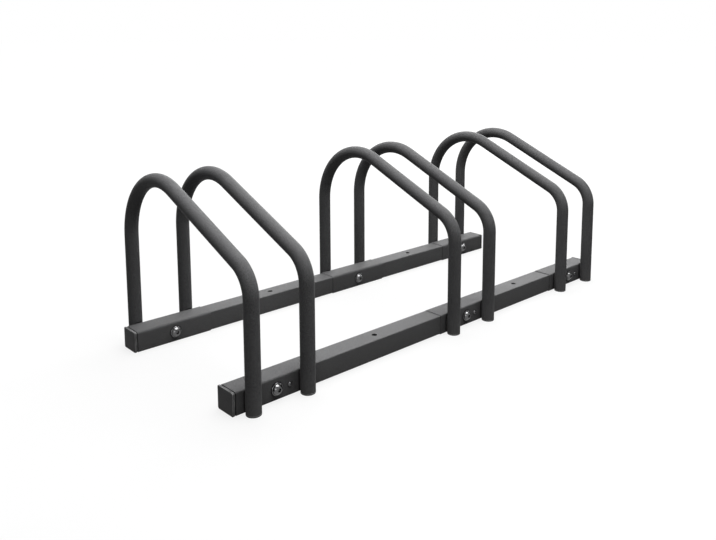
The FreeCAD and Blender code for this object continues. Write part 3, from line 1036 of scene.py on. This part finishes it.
@dataclass(frozen=True)
class HoopModule:
    """Two bent hoops with their leg plugs and the welds to the sleeves."""

    number: int
    rear_corner: float = 305.0 * MM
    front_corner: float = 173.1 * MM
    rear_bend: float = 94.0 * MM
    front_bend: float = 43.5 * MM
    bend_facets: int = 48
    tube_facets: int = 64
    tube_wall: float = 1.2 * MM
    foot_edge: float = 1.0 * MM
    foot_steps: int = 5
    plug_facets: int = 48
    plug_centre: float = 0.2
    stem: RibbedStem = RibbedStem()
    weld_inset: float = 4.9 * MM
    weld_lift: float = 0.8 * MM
    weld_radius: float = 1.55 * MM
    weld_pitch: float = 1.5 * MM
    weld_ripple: float = 0.28 * MM
    weld_margin: float = 3.0 * MM

    def node(self, rest: str) -> str:
        """The name of one of the module's nodes."""
        return f"module_{self.number}_{rest}"

    def build(self, trees: PieceTrees, finishes: Finishes) -> None:
        """Builds and dresses the module's pieces.

        Args:
            trees: The Geometry Nodes trees.
            finishes: The materials.
        """
        for hand in Hand:
            self._hoop(hand, trees.hoop, finishes.steel)
            for side in Side:
                self._plug(hand, side, finishes.plastic)
        self._welds(trees.weld, finishes.steel)

    def _hoop(self, hand: Hand, tree: Tree, coat: Material) -> None:
        """Builds one hoop as a hollow bent tube.

        Args:
            hand: Which of the two hoops.
            tree: The hoops' Geometry Nodes tree.
            coat: The tube's material.
        """
        node = self.node(f"{hand.word}_hoop")
        low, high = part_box(node)
        radius = (high.x - low.x) / 2
        piece = new_object(f"bent_hoop_{self.number}_{hand.word}", bpy.data.meshes.new("path"))
        values = {
            "X": (low.x + high.x) / 2,
            "Rear Y": high.y - radius,
            "Front Y": low.y + radius,
            "Foot": low.z,
            "Rear Corner": self.rear_corner,
            "Front Corner": self.front_corner,
            "Rear Bend": self.rear_bend,
            "Front Bend": self.front_bend,
            "Tube Radius": radius,
            "Bend Facets": self.bend_facets,
            "Tube Facets": self.tube_facets,
            "Finish": coat,
        }
        run_nodes(piece, tree, values)
        wall = piece.modifiers.new("wall", "SOLIDIFY")
        wall.thickness = self.tube_wall
        wall.offset = -1.0
        bake(piece)
        hand_in(piece, Slot.STEEL, node)

    def _plug(self, hand: Hand, side: Side, plastic: Material) -> None:
        """Builds one leg plug: a rounded foot and a ribbed hollow stem.

        Args:
            hand: Which of the two hoops.
            side: Which of the hoop's legs.
            plastic: The plug's material.
        """
        node = self.node(f"{hand.word}_{side.word}_plug")
        low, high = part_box(node)
        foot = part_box(self.node(f"{hand.word}_hoop"))[0].z
        outer = (high.x - low.x) / 2
        grip = outer - self.tube_wall - self.stem.gap
        stem = grip - self.stem.rib_depth
        hollow = stem - self.stem.wall
        profile = [(outer * self.plug_centre, 0.0), (outer - self.foot_edge, 0.0)]
        for step in range(1, self.foot_steps + 1):
            angle = QUARTER_TURN * step / self.foot_steps
            reach = outer - self.foot_edge * (1 - math.sin(angle))
            profile.append((reach, self.foot_edge * (1 - math.cos(angle))))
        profile += [(outer, foot), (stem, foot)]
        for start, end in self.stem.ribs(high.z - foot):
            profile += [(stem, foot + start), (grip, foot + start), (grip, foot + end), (stem, foot + end)]
        profile += [(stem, high.z), (hollow, high.z), (hollow, foot), (hollow * self.plug_centre, foot)]
        rings = [polar_ring(reach, level, self.plug_facets) for reach, level in profile]
        mesh = lofted(rings, closed=False)
        mesh.transform(Matrix.Translation(((low.x + high.x) / 2, (low.y + high.y) / 2, low.z)))
        smooth(mesh)
        piece = new_object(f"leg_plug_{self.number}_{hand.word}_{side.word}", mesh, plastic)
        hand_in(piece, Slot.PLASTIC, node)

    def _welds(self, tree: Tree, coat: Material) -> None:
        """Builds the weld beads on both sides of each leg.

        Args:
            tree: The beads' Geometry Nodes tree.
            coat: The beads' material.
        """
        seams = []
        for side in Side:
            low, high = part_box(sleeve_node(self.number, side))
            face = high.y if side is Side.REAR else low.y
            for hand in Hand:
                leg_low, leg_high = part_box(self.node(f"{hand.word}_hoop"))
                for edge in Hand:
                    x = (leg_low.x + leg_high.x) / 2 + edge * self.weld_inset
                    seams.append(Vector((x, face + side * self.weld_lift, (low.z + high.z) / 2)))
        piece = new_object(f"weld_beads_{self.number}", point_mesh(seams))
        values = {
            "Length": high.z - low.z - 2 * self.weld_margin,
            "Bead Radius": self.weld_radius,
            "Ripple Pitch": self.weld_pitch,
            "Ripple Depth": self.weld_ripple,
            "Seed": self.number,
            "Finish": coat,
        }
        run_nodes(piece, tree, values)
        bake(piece)
        hand_in(piece, Slot.STEEL, self.node("welds"))


@dataclass(frozen=True)
class RailLine:
    """One rail with the sleeves that slide over it and its two end caps.

    The crown of a cap's face is a row of rings, each with its gap from the rim as a share of the cap's
    height and its drop as a share of the whole crown.
    """

    side: Side
    sleeve_wall: float = 0.8 * MM
    sleeve_radius: float = 2.4 * MM
    inner_top_radius: float = 3.8 * MM
    slide_gap: float = 0.1 * MM
    rail_wall: float = 1.2 * MM
    cut_edge: float = 0.6 * MM
    anchor_hole: float = 8.0 * MM
    hole_facets: int = 40
    cap_edge: float = 0.6 * MM
    cap_steps: int = 5
    cap_crown: float = 0.25 * MM
    crown_rings: tuple[tuple[float, float], ...] = ((0.4, 0.0), (0.2, 0.25))
    cap_seam: float = 1.3 * MM
    seam_edge: float = 0.3 * MM
    stem: RibbedStem = RibbedStem()

    @property
    def rail_radius(self) -> float:
        """The rail's outer corner radius, which follows the sleeve's."""
        return self.sleeve_radius - self.sleeve_wall - self.slide_gap

    def build(self, finishes: Finishes) -> None:
        """Builds and dresses the rail, its sleeves and its caps.

        Args:
            finishes: The materials.
        """
        self._rail(finishes.steel)
        for module in MODULES:
            self._sleeve(module, finishes.steel)
        for hand in Hand:
            self._cap(hand, finishes.plastic)

    def _tube(self, node: str, radius: float, wall: float, inner_top: float) -> Mesh:
        """A rectangular tube in a node's place, with its cut ends broken.

        Args:
            node: The node's name.
            radius: The outer corner radius.
            wall: The wall's thickness.
            inner_top: The outer radius of the top corner that faces the other rail.

        Returns:
            The mesh.
        """
        low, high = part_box(node)
        centre = (low + high) / 2
        plain = TubeSection.of_box(low, high, radius)
        outside = plain.rounded(Side(-self.side), inner_top)
        broken = outside.inside(self.cut_edge)
        bore = plain.inside(wall)
        rings = [
            broken.ring(low.x, centre),
            outside.ring(low.x + self.cut_edge, centre),
            outside.ring(high.x - self.cut_edge, centre),
            broken.ring(high.x, centre),
            bore.ring(high.x, centre),
            bore.ring(low.x, centre),
        ]
        return lofted(rings, closed=True)

    def _sleeve(self, module: int, coat: Material) -> None:
        """Builds one sleeve.

        Args:
            module: The number of the module that it belongs to.
            coat: The sleeve's material.
        """
        node = sleeve_node(module, self.side)
        mesh = self._tube(node, self.sleeve_radius, self.sleeve_wall, self.inner_top_radius)
        smooth(mesh)
        hand_in(new_object(f"rail_sleeve_{module}_{self.side.word}", mesh, coat), Slot.STEEL, node)

    def _anchor_places(self) -> Iterator[Vector]:
        """Finds the middle of each free stretch of rail between two sleeves.

        Yields:
            The middle of a stretch.
        """
        for module in MODULES[:-1]:
            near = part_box(sleeve_node(module, self.side))
            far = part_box(sleeve_node(module + 1, self.side))
            yield (near[0] + near[1] + far[0] + far[1]) / 4

    def _rail(self, coat: Material) -> None:
        """Builds the rail with its anchor holes drilled through both walls.

        Args:
            coat: The rail's material.
        """
        node = f"{self.side.word}_rail"
        low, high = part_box(node)
        reach = high.z - low.z
        mesh = self._tube(node, self.rail_radius, self.rail_wall, self.rail_radius)
        piece = new_object(f"inner_rail_{self.side.word}", mesh, coat)
        drills = []
        for place in self._anchor_places():
            rings = [polar_ring(self.anchor_hole / 2, level, self.hole_facets) for level in (-reach, reach)]
            drill = new_object("drill", lofted(rings, closed=False), coat)
            drill.data.transform(Matrix.Translation(place))
            cut = piece.modifiers.new("hole", "BOOLEAN")
            cut.object = drill
            drills.append(drill)
        bake(piece)
        for drill in drills:
            bpy.data.objects.remove(drill)
        hand_in(piece, Slot.STEEL, node)

    def _cap(self, hand: Hand, plastic: Material) -> None:
        """Builds one end cap: a rounded rim with a crowned face and a ribbed hollow stem.

        Args:
            hand: Which end of the rail.
            plastic: The cap's material.
        """
        node = f"{self.side.word}_rail_{hand.word}_cap"
        low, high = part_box(node)
        rail_low, rail_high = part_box(f"{self.side.word}_rail")
        centre = (low + high) / 2
        face, seat, tip = low.x, rail_low.x, high.x
        if hand is Hand.RIGHT:
            face, seat, tip = high.x, rail_high.x, low.x
        rim = TubeSection.of_box(low, high, self.sleeve_radius)
        rail = TubeSection.of_box(rail_low, rail_high, self.rail_radius)
        grip = rail.inside(self.rail_wall + self.stem.gap)
        stem = grip.inside(self.stem.rib_depth)
        hollow = stem.inside(self.stem.wall)
        stations = []
        for gap, drop in self.crown_rings:
            stations.append((rim.inside(rim.height * gap), face - hand * self.cap_crown * drop))
        for step in range(self.cap_steps + 1):
            angle = QUARTER_TURN * step / self.cap_steps
            depth = self.cap_crown + (self.cap_edge - self.cap_crown) * (1 - math.cos(angle))
            stations.append((rim.inside(self.cap_edge * (1 - math.sin(angle))), face - hand * depth))
        lip = seat + hand * self.cap_seam
        stations += [(rim, lip + hand * self.seam_edge), (rim.inside(self.seam_edge), lip)]
        stations += [(rim.inside(self.cap_seam), x) for x in (lip, seat)]
        stations.append((stem, seat))
        for start, end in self.stem.ribs(abs(tip - seat)):
            near = seat - hand * start
            far = seat - hand * end
            stations += [(stem, near), (grip, near), (grip, far), (stem, far)]
        stations += [(stem, tip), (hollow, tip), (hollow, seat)]
        mesh = lofted([section.ring(x, centre) for section, x in stations], closed=False)
        smooth(mesh)
        hand_in(new_object(f"rail_cap_{self.side.word}_{hand.word}", mesh, plastic), Slot.PLASTIC, node)


class TurnSeed(IntEnum):
    """Seeds for the turns of each kind of fastener."""

    BOLTS = 3
    NUTS = 5
    WASHERS = 7
    SCREWS = 11


@dataclass(frozen=True)
class FastenerSet:
    """The rack's bolts, washers, nuts and lock screws. Their axes lie along Y and all heads face the front.

    Shares are of the bolt's root for its tip, of the width over flats for the bolt's socket and the nut's
    bearing face, of the screw's radius for its point, and of the cross's reach for its mouth and floor.
    """

    facets: int = 72
    largest_turn: float = math.tau
    bolt_radius: float = 4.0 * MM
    bolt_head: float = 7.0 * MM
    bolt_rise: float = 4.4 * MM
    bolt_rim: float = 0.8 * MM
    bolt_dome_steps: int = 14
    bolt_tail: float = 2.5 * MM
    bolt_tip_share: float = 0.3
    socket_flats: float = 5.0 * MM
    socket_depth: float = 2.6 * MM
    socket_mouth_share: float = 0.62
    socket_mouth_drop: float = 0.1 * MM
    socket_floor_share: float = 0.1
    socket_floor_drop: float = 0.5 * MM
    thread_pitch: float = 1.25 * MM
    thread_depth: float = 0.55 * MM
    thread_steps: int = 8
    washer_radius: float = 8.5 * MM
    washer_bore: float = 4.25 * MM
    washer_thickness: float = 1.6 * MM
    washer_edge: float = 0.3 * MM
    nut_flats: float = 13.0 * MM
    nut_height: float = 6.5 * MM
    nut_chamfer: float = math.radians(30)
    nut_bearing_share: float = 0.48
    nut_gap: float = 0.05 * MM
    nut_lead: float = 0.5 * MM
    screw_radius: float = 1.75 * MM
    screw_head: float = 3.0 * MM
    screw_rise: float = 2.0 * MM
    screw_rim: float = 0.5 * MM
    screw_dome_steps: int = 8
    screw_grip: float = 2.3 * MM
    screw_tip: float = 3.5 * MM
    screw_tip_share: float = 0.08
    cross_reach: float = 1.5 * MM
    cross_width: float = 0.35 * MM
    cross_depth: float = 1.1 * MM
    cross_mouth_share: float = 1.2
    cross_floor_share: float = 0.6
    cross_centre: float = 0.1 * MM
    least_sine: float = 1e-6

    def build(self, tree: Tree, finishes: Finishes) -> None:
        """Builds each kind of fastener once and copies it to its places.

        Args:
            tree: The Geometry Nodes tree that copies them.
            finishes: The materials.
        """
        zinc = finishes.zinc
        heads, backs, screws = [], [], []
        first = middle_of(sleeve_node(MODULES[0], Side.FRONT))
        screw_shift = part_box("lock_screws")[0].x + self.screw_head - first.x
        for side in Side:
            for module in MODULES:
                low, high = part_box(sleeve_node(module, side))
                centre = (low + high) / 2
                heads.append(Vector((centre.x, low.y, centre.z)))
                backs.append(Vector((centre.x, high.y, centre.z)))
                if side is Side.FRONT:
                    screws.append(Vector((centre.x + screw_shift, low.y, centre.z)))
        bolt = self._bolt(backs[0].y - heads[0].y)
        away = Vector((0.0, self.washer_thickness, 0.0))
        bolts = [place - away for place in heads]
        nuts = [place + away for place in backs]
        self._row(tree, zinc, "frame_bolts", bolt, bolts, TurnSeed.BOLTS)
        self._row(tree, zinc, "frame_nuts", self._nut(), nuts, TurnSeed.NUTS)
        self._row(tree, zinc, "bolt_washers", self._washer(), heads + nuts, TurnSeed.WASHERS)
        self._row(tree, finishes.blackened, "lock_screws", self._screw(), screws, TurnSeed.SCREWS)

    def _row(
        self, tree: Tree, finish: Material, node: str, mesh: Mesh, places: Sequence[Vector], seed: TurnSeed
    ) -> None:
        """Copies a fastener's mesh, modelled along Z, to its places along Y.

        Args:
            tree: The Geometry Nodes tree that copies it.
            finish: Its material.
            node: The node that the row replaces.
            mesh: The fastener's mesh.
            places: Where the copies sit.
            seed: The seed of their turns.
        """
        mesh.transform(Matrix.Rotation(QUARTER_TURN, 4, "X"))
        pattern = new_object("pattern", mesh)
        piece = new_object(f"plated_{node}", point_mesh(places))
        values = {
            "Fastener": pattern,
            "Largest Turn": self.largest_turn,
            "Seed": seed.value,
            "Finish": finish,
        }
        run_nodes(piece, tree, values)
        bake(piece)
        bpy.data.objects.remove(pattern)
        hand_in(piece, Slot.ZINC, node)

    def _ring(self, radius: Rule | float, height: Rule | float) -> Ring:
        """A ring with the fasteners' number of facets."""
        return polar_ring(radius, height, self.facets)

    @staticmethod
    def _dome(head: float, rim: float, rise: float) -> Rule:
        """The height of a full dome, as a function of the distance from its axis."""
        return lambda reach: rim + (rise - rim) * math.cos(QUARTER_TURN * (reach / head) ** 2)

    def _dome_rings(self, dome: Rule, head: float, mouth: float, steps: int) -> list[Ring]:
        """The rings of a dome, from its rim in to the mouth of its recess."""
        reaches = [head + (mouth - head) * step / steps for step in range(1, steps + 1)]
        return [self._ring(reach, dome(reach)) for reach in reaches]

    @staticmethod
    def _hexagon(flats: float) -> Rule:
        """The radius of a hexagon as a function of the angle."""
        sector = math.pi / 3
        return lambda angle: flats / 2 / math.cos((angle + sector / 2) % sector - sector / 2)

    def _bolt(self, grip: float) -> Mesh:
        """A domed bolt with a hexagon socket, and a thread on the end that stands out of the nut.

        Args:
            grip: The depth of the sleeve that the bolt goes through.

        Returns:
            The mesh, with the head's seat at level 0.
        """
        end = -(grip + 2 * self.washer_thickness + self.nut_height + self.bolt_tail)
        root = self.bolt_radius - self.thread_depth
        rings = [self._ring(root * self.bolt_tip_share, end), self._ring(root, end)]
        level = end
        while level < end + self.bolt_tail + self.thread_pitch:
            level += self.thread_pitch / self.thread_steps
            rings.append(self._ring(self._thread(level), level))
        rings.append(self._ring(self.bolt_radius, level + self.thread_pitch))
        rings.append(self._ring(self.bolt_radius, 0.0))
        rings.append(self._ring(self.bolt_head, 0.0))
        rings.append(self._ring(self.bolt_head, self.bolt_rim))
        dome = self._dome(self.bolt_head, self.bolt_rim, self.bolt_rise)
        mouth = self.socket_flats * self.socket_mouth_share
        rings += self._dome_rings(dome, self.bolt_head, mouth, self.bolt_dome_steps)
        hexagon = self._hexagon(self.socket_flats)
        floor = self.bolt_rise - self.socket_depth
        rings.append(self._ring(hexagon, dome(mouth) - self.socket_mouth_drop))
        rings.append(self._ring(hexagon, floor))
        rings.append(self._ring(self.socket_flats * self.socket_floor_share, floor - self.socket_floor_drop))
        return lofted(rings, closed=False)

    def _thread(self, level: float) -> Rule:
        """The radius of the bolt's thread, as a function of the angle.

        Args:
            level: The level along the bolt.

        Returns:
            The function.
        """

        def radius(angle: float) -> float:
            """The thread's radius at one angle."""
            turn = (level / self.thread_pitch - angle / math.tau) % 1.0
            return self.bolt_radius - self.thread_depth * abs(2 * turn - 1)

        return radius

    def _washer(self) -> Mesh:
        """A stamped washer with softened edges.

        Returns:
            The mesh.
        """
        edge, thickness = self.washer_edge, self.washer_thickness
        outer, inner = self.washer_radius, self.washer_bore
        profile = (
            (outer - edge, 0.0),
            (outer, edge),
            (outer, thickness - edge),
            (outer - edge, thickness),
            (inner + edge, thickness),
            (inner, thickness - edge),
            (inner, edge),
            (inner + edge, 0.0),
        )
        return lofted([self._ring(reach, level) for reach, level in profile], closed=True)

    def _nut(self) -> Mesh:
        """A hexagon nut with chamfered corners, behind its seat.

        Returns:
            The mesh.
        """
        hexagon = self._hexagon(self.nut_flats)
        bearing = self.nut_flats * self.nut_bearing_share
        bore = self.bolt_radius + self.nut_gap
        lead = self.nut_lead
        back = -self.nut_height

        def drop(angle: float) -> float:
            """How far the chamfer goes down at one angle."""
            return (hexagon(angle) - bearing) * math.tan(self.nut_chamfer)

        rings = [
            self._ring(bearing, 0.0),
            self._ring(hexagon, lambda angle: -drop(angle)),
            self._ring(hexagon, lambda angle: back + drop(angle)),
            self._ring(bearing, back),
            self._ring(bore + lead, back),
            self._ring(bore, back + lead),
            self._ring(bore, -lead),
            self._ring(bore + lead, 0.0),
        ]
        return lofted(rings, closed=True)

    def _screw(self) -> Mesh:
        """A small domed screw with a cross recess and a pointed end.

        Returns:
            The mesh.
        """
        dome = self._dome(self.screw_head, self.screw_rim, self.screw_rise)
        floor = self.screw_rise - self.cross_depth

        def cross(angle: float) -> float:
            """The cross's radius at one angle.

            Args:
                angle: The angle about the screw's axis.

            Returns:
                The radius.
            """
            arm = (angle + QUARTER_TURN / 2) % QUARTER_TURN - QUARTER_TURN / 2
            side = self.cross_width / max(abs(math.sin(arm)), self.least_sine)
            return min(self.cross_reach / math.cos(arm), side)

        rings = [
            self._ring(self.screw_radius * self.screw_tip_share, -(self.screw_grip + self.screw_tip)),
            self._ring(self.screw_radius, -self.screw_grip),
            self._ring(self.screw_radius, 0.0),
            self._ring(self.screw_head, 0.0),
            self._ring(self.screw_head, self.screw_rim),
        ]
        mouth = self.cross_reach * self.cross_mouth_share
        rings += self._dome_rings(dome, self.screw_head, mouth, self.screw_dome_steps)
        rings.append(self._ring(cross, lambda angle: dome(cross(angle))))
        rings.append(self._ring(lambda angle: cross(angle) * self.cross_floor_share, floor))
        rings.append(self._ring(self.cross_centre, floor))
        return lofted(rings, closed=False)


# The studio


@dataclass(frozen=True)
class SoftBox:
    """A rectangular studio lamp that points at the rack."""

    name: str
    place: tuple[float, float, float]
    target: tuple[float, float, float]
    size: tuple[float, float]
    power: float

    def build(self) -> None:
        """Hangs the lamp."""
        lamp = bpy.data.lights.new(self.name, "AREA")
        lamp.shape = "RECTANGLE"
        lamp.size, lamp.size_y = self.size
        lamp.energy = self.power
        holder = bpy.data.objects.new(self.name, lamp)
        holder.location = self.place
        aim = Vector(self.target) - Vector(self.place)
        holder.rotation_euler = aim.to_track_quat("-Z", "Y").to_euler()
        bpy.context.scene.collection.objects.link(holder)


@dataclass(frozen=True)
class Studio:
    """White floor and surroundings, soft lamps and the camera."""

    azimuth: float = math.radians(-43.746)
    elevation: float = math.radians(8.077)
    roll: float = math.radians(0.08)
    distance: float = 1.24898
    target: tuple[float, float, float] = (0.0011, 0.0, 0.28344)
    focal_pixels: float = 764.8
    shift_pixels: tuple[float, float] = (-28.07, -129.79)
    sensor: float = 36.0
    floor_size: float = 60.0
    floor_color: float = 0.06
    floor_glow: float = 0.8
    shadow_reach: tuple[float, float] = (0.7, 1.8)
    ambient: float = 0.04
    lamps: tuple[SoftBox, ...] = (
        SoftBox("top_softbox", (0.16, -0.02, 1.9), (0.0, 0.0, 0.0), (2.5, 1.8), 185.0),
        SoftBox("back_softbox", (2.5, 2.4, 1.4), (0.1, 0.0, 0.1), (2.6, 1.4), 80.0),
        SoftBox("side_softbox", (2.4, 0.5, 1.0), (0.0, 0.0, 0.15), (0.9, 1.0), 54.0),
        SoftBox("front_softbox", (-2.1, -1.6, 0.6), (0.0, 0.0, 0.12), (1.4, 1.0), 13.0),
    )

    def build(self) -> None:
        """Sets up the floor, the surroundings, the lamps and the camera."""
        self._floor()
        self._world()
        for lamp in self.lamps:
            lamp.build()
        self._camera()
        bpy.context.scene.view_settings.view_transform = "Standard"

    @staticmethod
    def _seen(tree: Tree) -> Socket:
        """Tells the rays that show the white surroundings from those that light the rack.

        Args:
            tree: The tree of the floor or the world.

        Returns:
            1 for rays from the camera, reflections and glass, and 0 for the rest.
        """
        path = add(tree, "ShaderNodeLightPath").outputs
        mirrored = math_node(tree, "MAXIMUM", path["Is Glossy Ray"], path["Is Transmission Ray"])
        return math_node(tree, "MAXIMUM", path["Is Camera Ray"], mirrored)

    def _floor(self) -> None:
        """Lays a pale floor that looks white where it is lit and keeps the rack's shadow."""
        half = self.floor_size / 2
        mesh = bpy.data.meshes.new("floor")
        corners = [(-half, -half, 0), (half, -half, 0), (half, half, 0), (-half, half, 0)]
        mesh.from_pydata(corners, [], [(0, 1, 2, 3)])
        material = bpy.data.materials.new("white_floor")
        material.use_nodes = True
        tree = material.node_tree
        tree.nodes.remove(tree.nodes["Principled BSDF"])
        paint = add(tree, "ShaderNodeBsdfDiffuse", {"Color": (*(self.floor_color,) * 3, 1.0)})
        glow = add(tree, "ShaderNodeEmission")
        place = add(tree, "ShaderNodeTexCoord").outputs["Object"]
        away = add(tree, "ShaderNodeVectorMath", {0: place}, operation="LENGTH").outputs["Value"]
        white = add(tree, "ShaderNodeMapRange", {"Value": away, "To Min": self.floor_glow, "To Max": 1.0})
        put(tree, white.inputs["From Min"], self.shadow_reach[0])
        put(tree, white.inputs["From Max"], self.shadow_reach[1])
        put(tree, glow.inputs["Strength"], math_node(tree, "MULTIPLY", self._seen(tree), white.outputs[0]))
        both = add(tree, "ShaderNodeAddShader", {0: paint.outputs[0], 1: glow.outputs[0]})
        put(tree, tree.nodes["Material Output"].inputs["Surface"], both.outputs[0])
        new_object("studio_floor", mesh, material)

    def _world(self) -> None:
        """Surrounds the rack with white, and lights it softly from all round."""
        world = bpy.data.worlds.new("white_surroundings")
        world.use_nodes = True
        tree = world.node_tree
        glow = tree.nodes["Background"]
        put(tree, glow.inputs["Color"], (1.0, 1.0, 1.0, 1.0))
        extra = math_node(tree, "MULTIPLY", self._seen(tree), 1.0 - self.ambient)
        put(tree, glow.inputs["Strength"], math_node(tree, "ADD", extra, self.ambient))
        bpy.context.scene.world = world

    def _camera(self) -> None:
        """Sets the camera where the photograph was taken from."""
        lens = bpy.data.cameras.new("photo_camera")
        lens.sensor_width = self.sensor
        lens.lens = self.focal_pixels * self.sensor / PHOTO_WIDTH
        lens.shift_x = self.shift_pixels[0] / PHOTO_WIDTH
        lens.shift_y = self.shift_pixels[1] / PHOTO_WIDTH
        level = math.cos(self.elevation)
        across = math.sin(self.azimuth) * level
        forward = math.cos(self.azimuth) * level
        back = Vector((across, -forward, math.sin(self.elevation)))
        camera = bpy.data.objects.new("photo_camera", lens)
        camera.location = Vector(self.target) + back * self.distance
        level_view = (-back).to_track_quat("-Z", "Y")
        camera.rotation_euler = (level_view @ Quaternion((0.0, 0.0, 1.0), self.roll)).to_euler()
        bpy.context.scene.collection.objects.link(camera)
        bpy.context.scene.camera = camera


def main() -> None:
    """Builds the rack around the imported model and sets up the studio."""
    logging.basicConfig(level=logging.INFO, format="%(name)s: %(message)s")
    for piece in list(bpy.data.objects):
        bpy.data.objects.remove(piece)
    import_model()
    effects = SurfaceEffects()
    finishes = Finishes(
        steel=POWDER_COAT.build(effects),
        plastic=MOULDED_PLASTIC.build(effects),
        zinc=BLACK_ZINC.build(effects),
        blackened=BLACKENED_STEEL.build(effects),
    )
    trees = PieceTrees(hoop=hoop_tree(), weld=weld_tree(), fastener=fastener_tree())
    for module in MODULES:
        HoopModule(module).build(trees, finishes)
    for side in Side:
        RailLine(side).build(finishes)
    FastenerSet().build(trees.fastener, finishes)
    Studio().build()


if __name__ == "__main__":
    main()
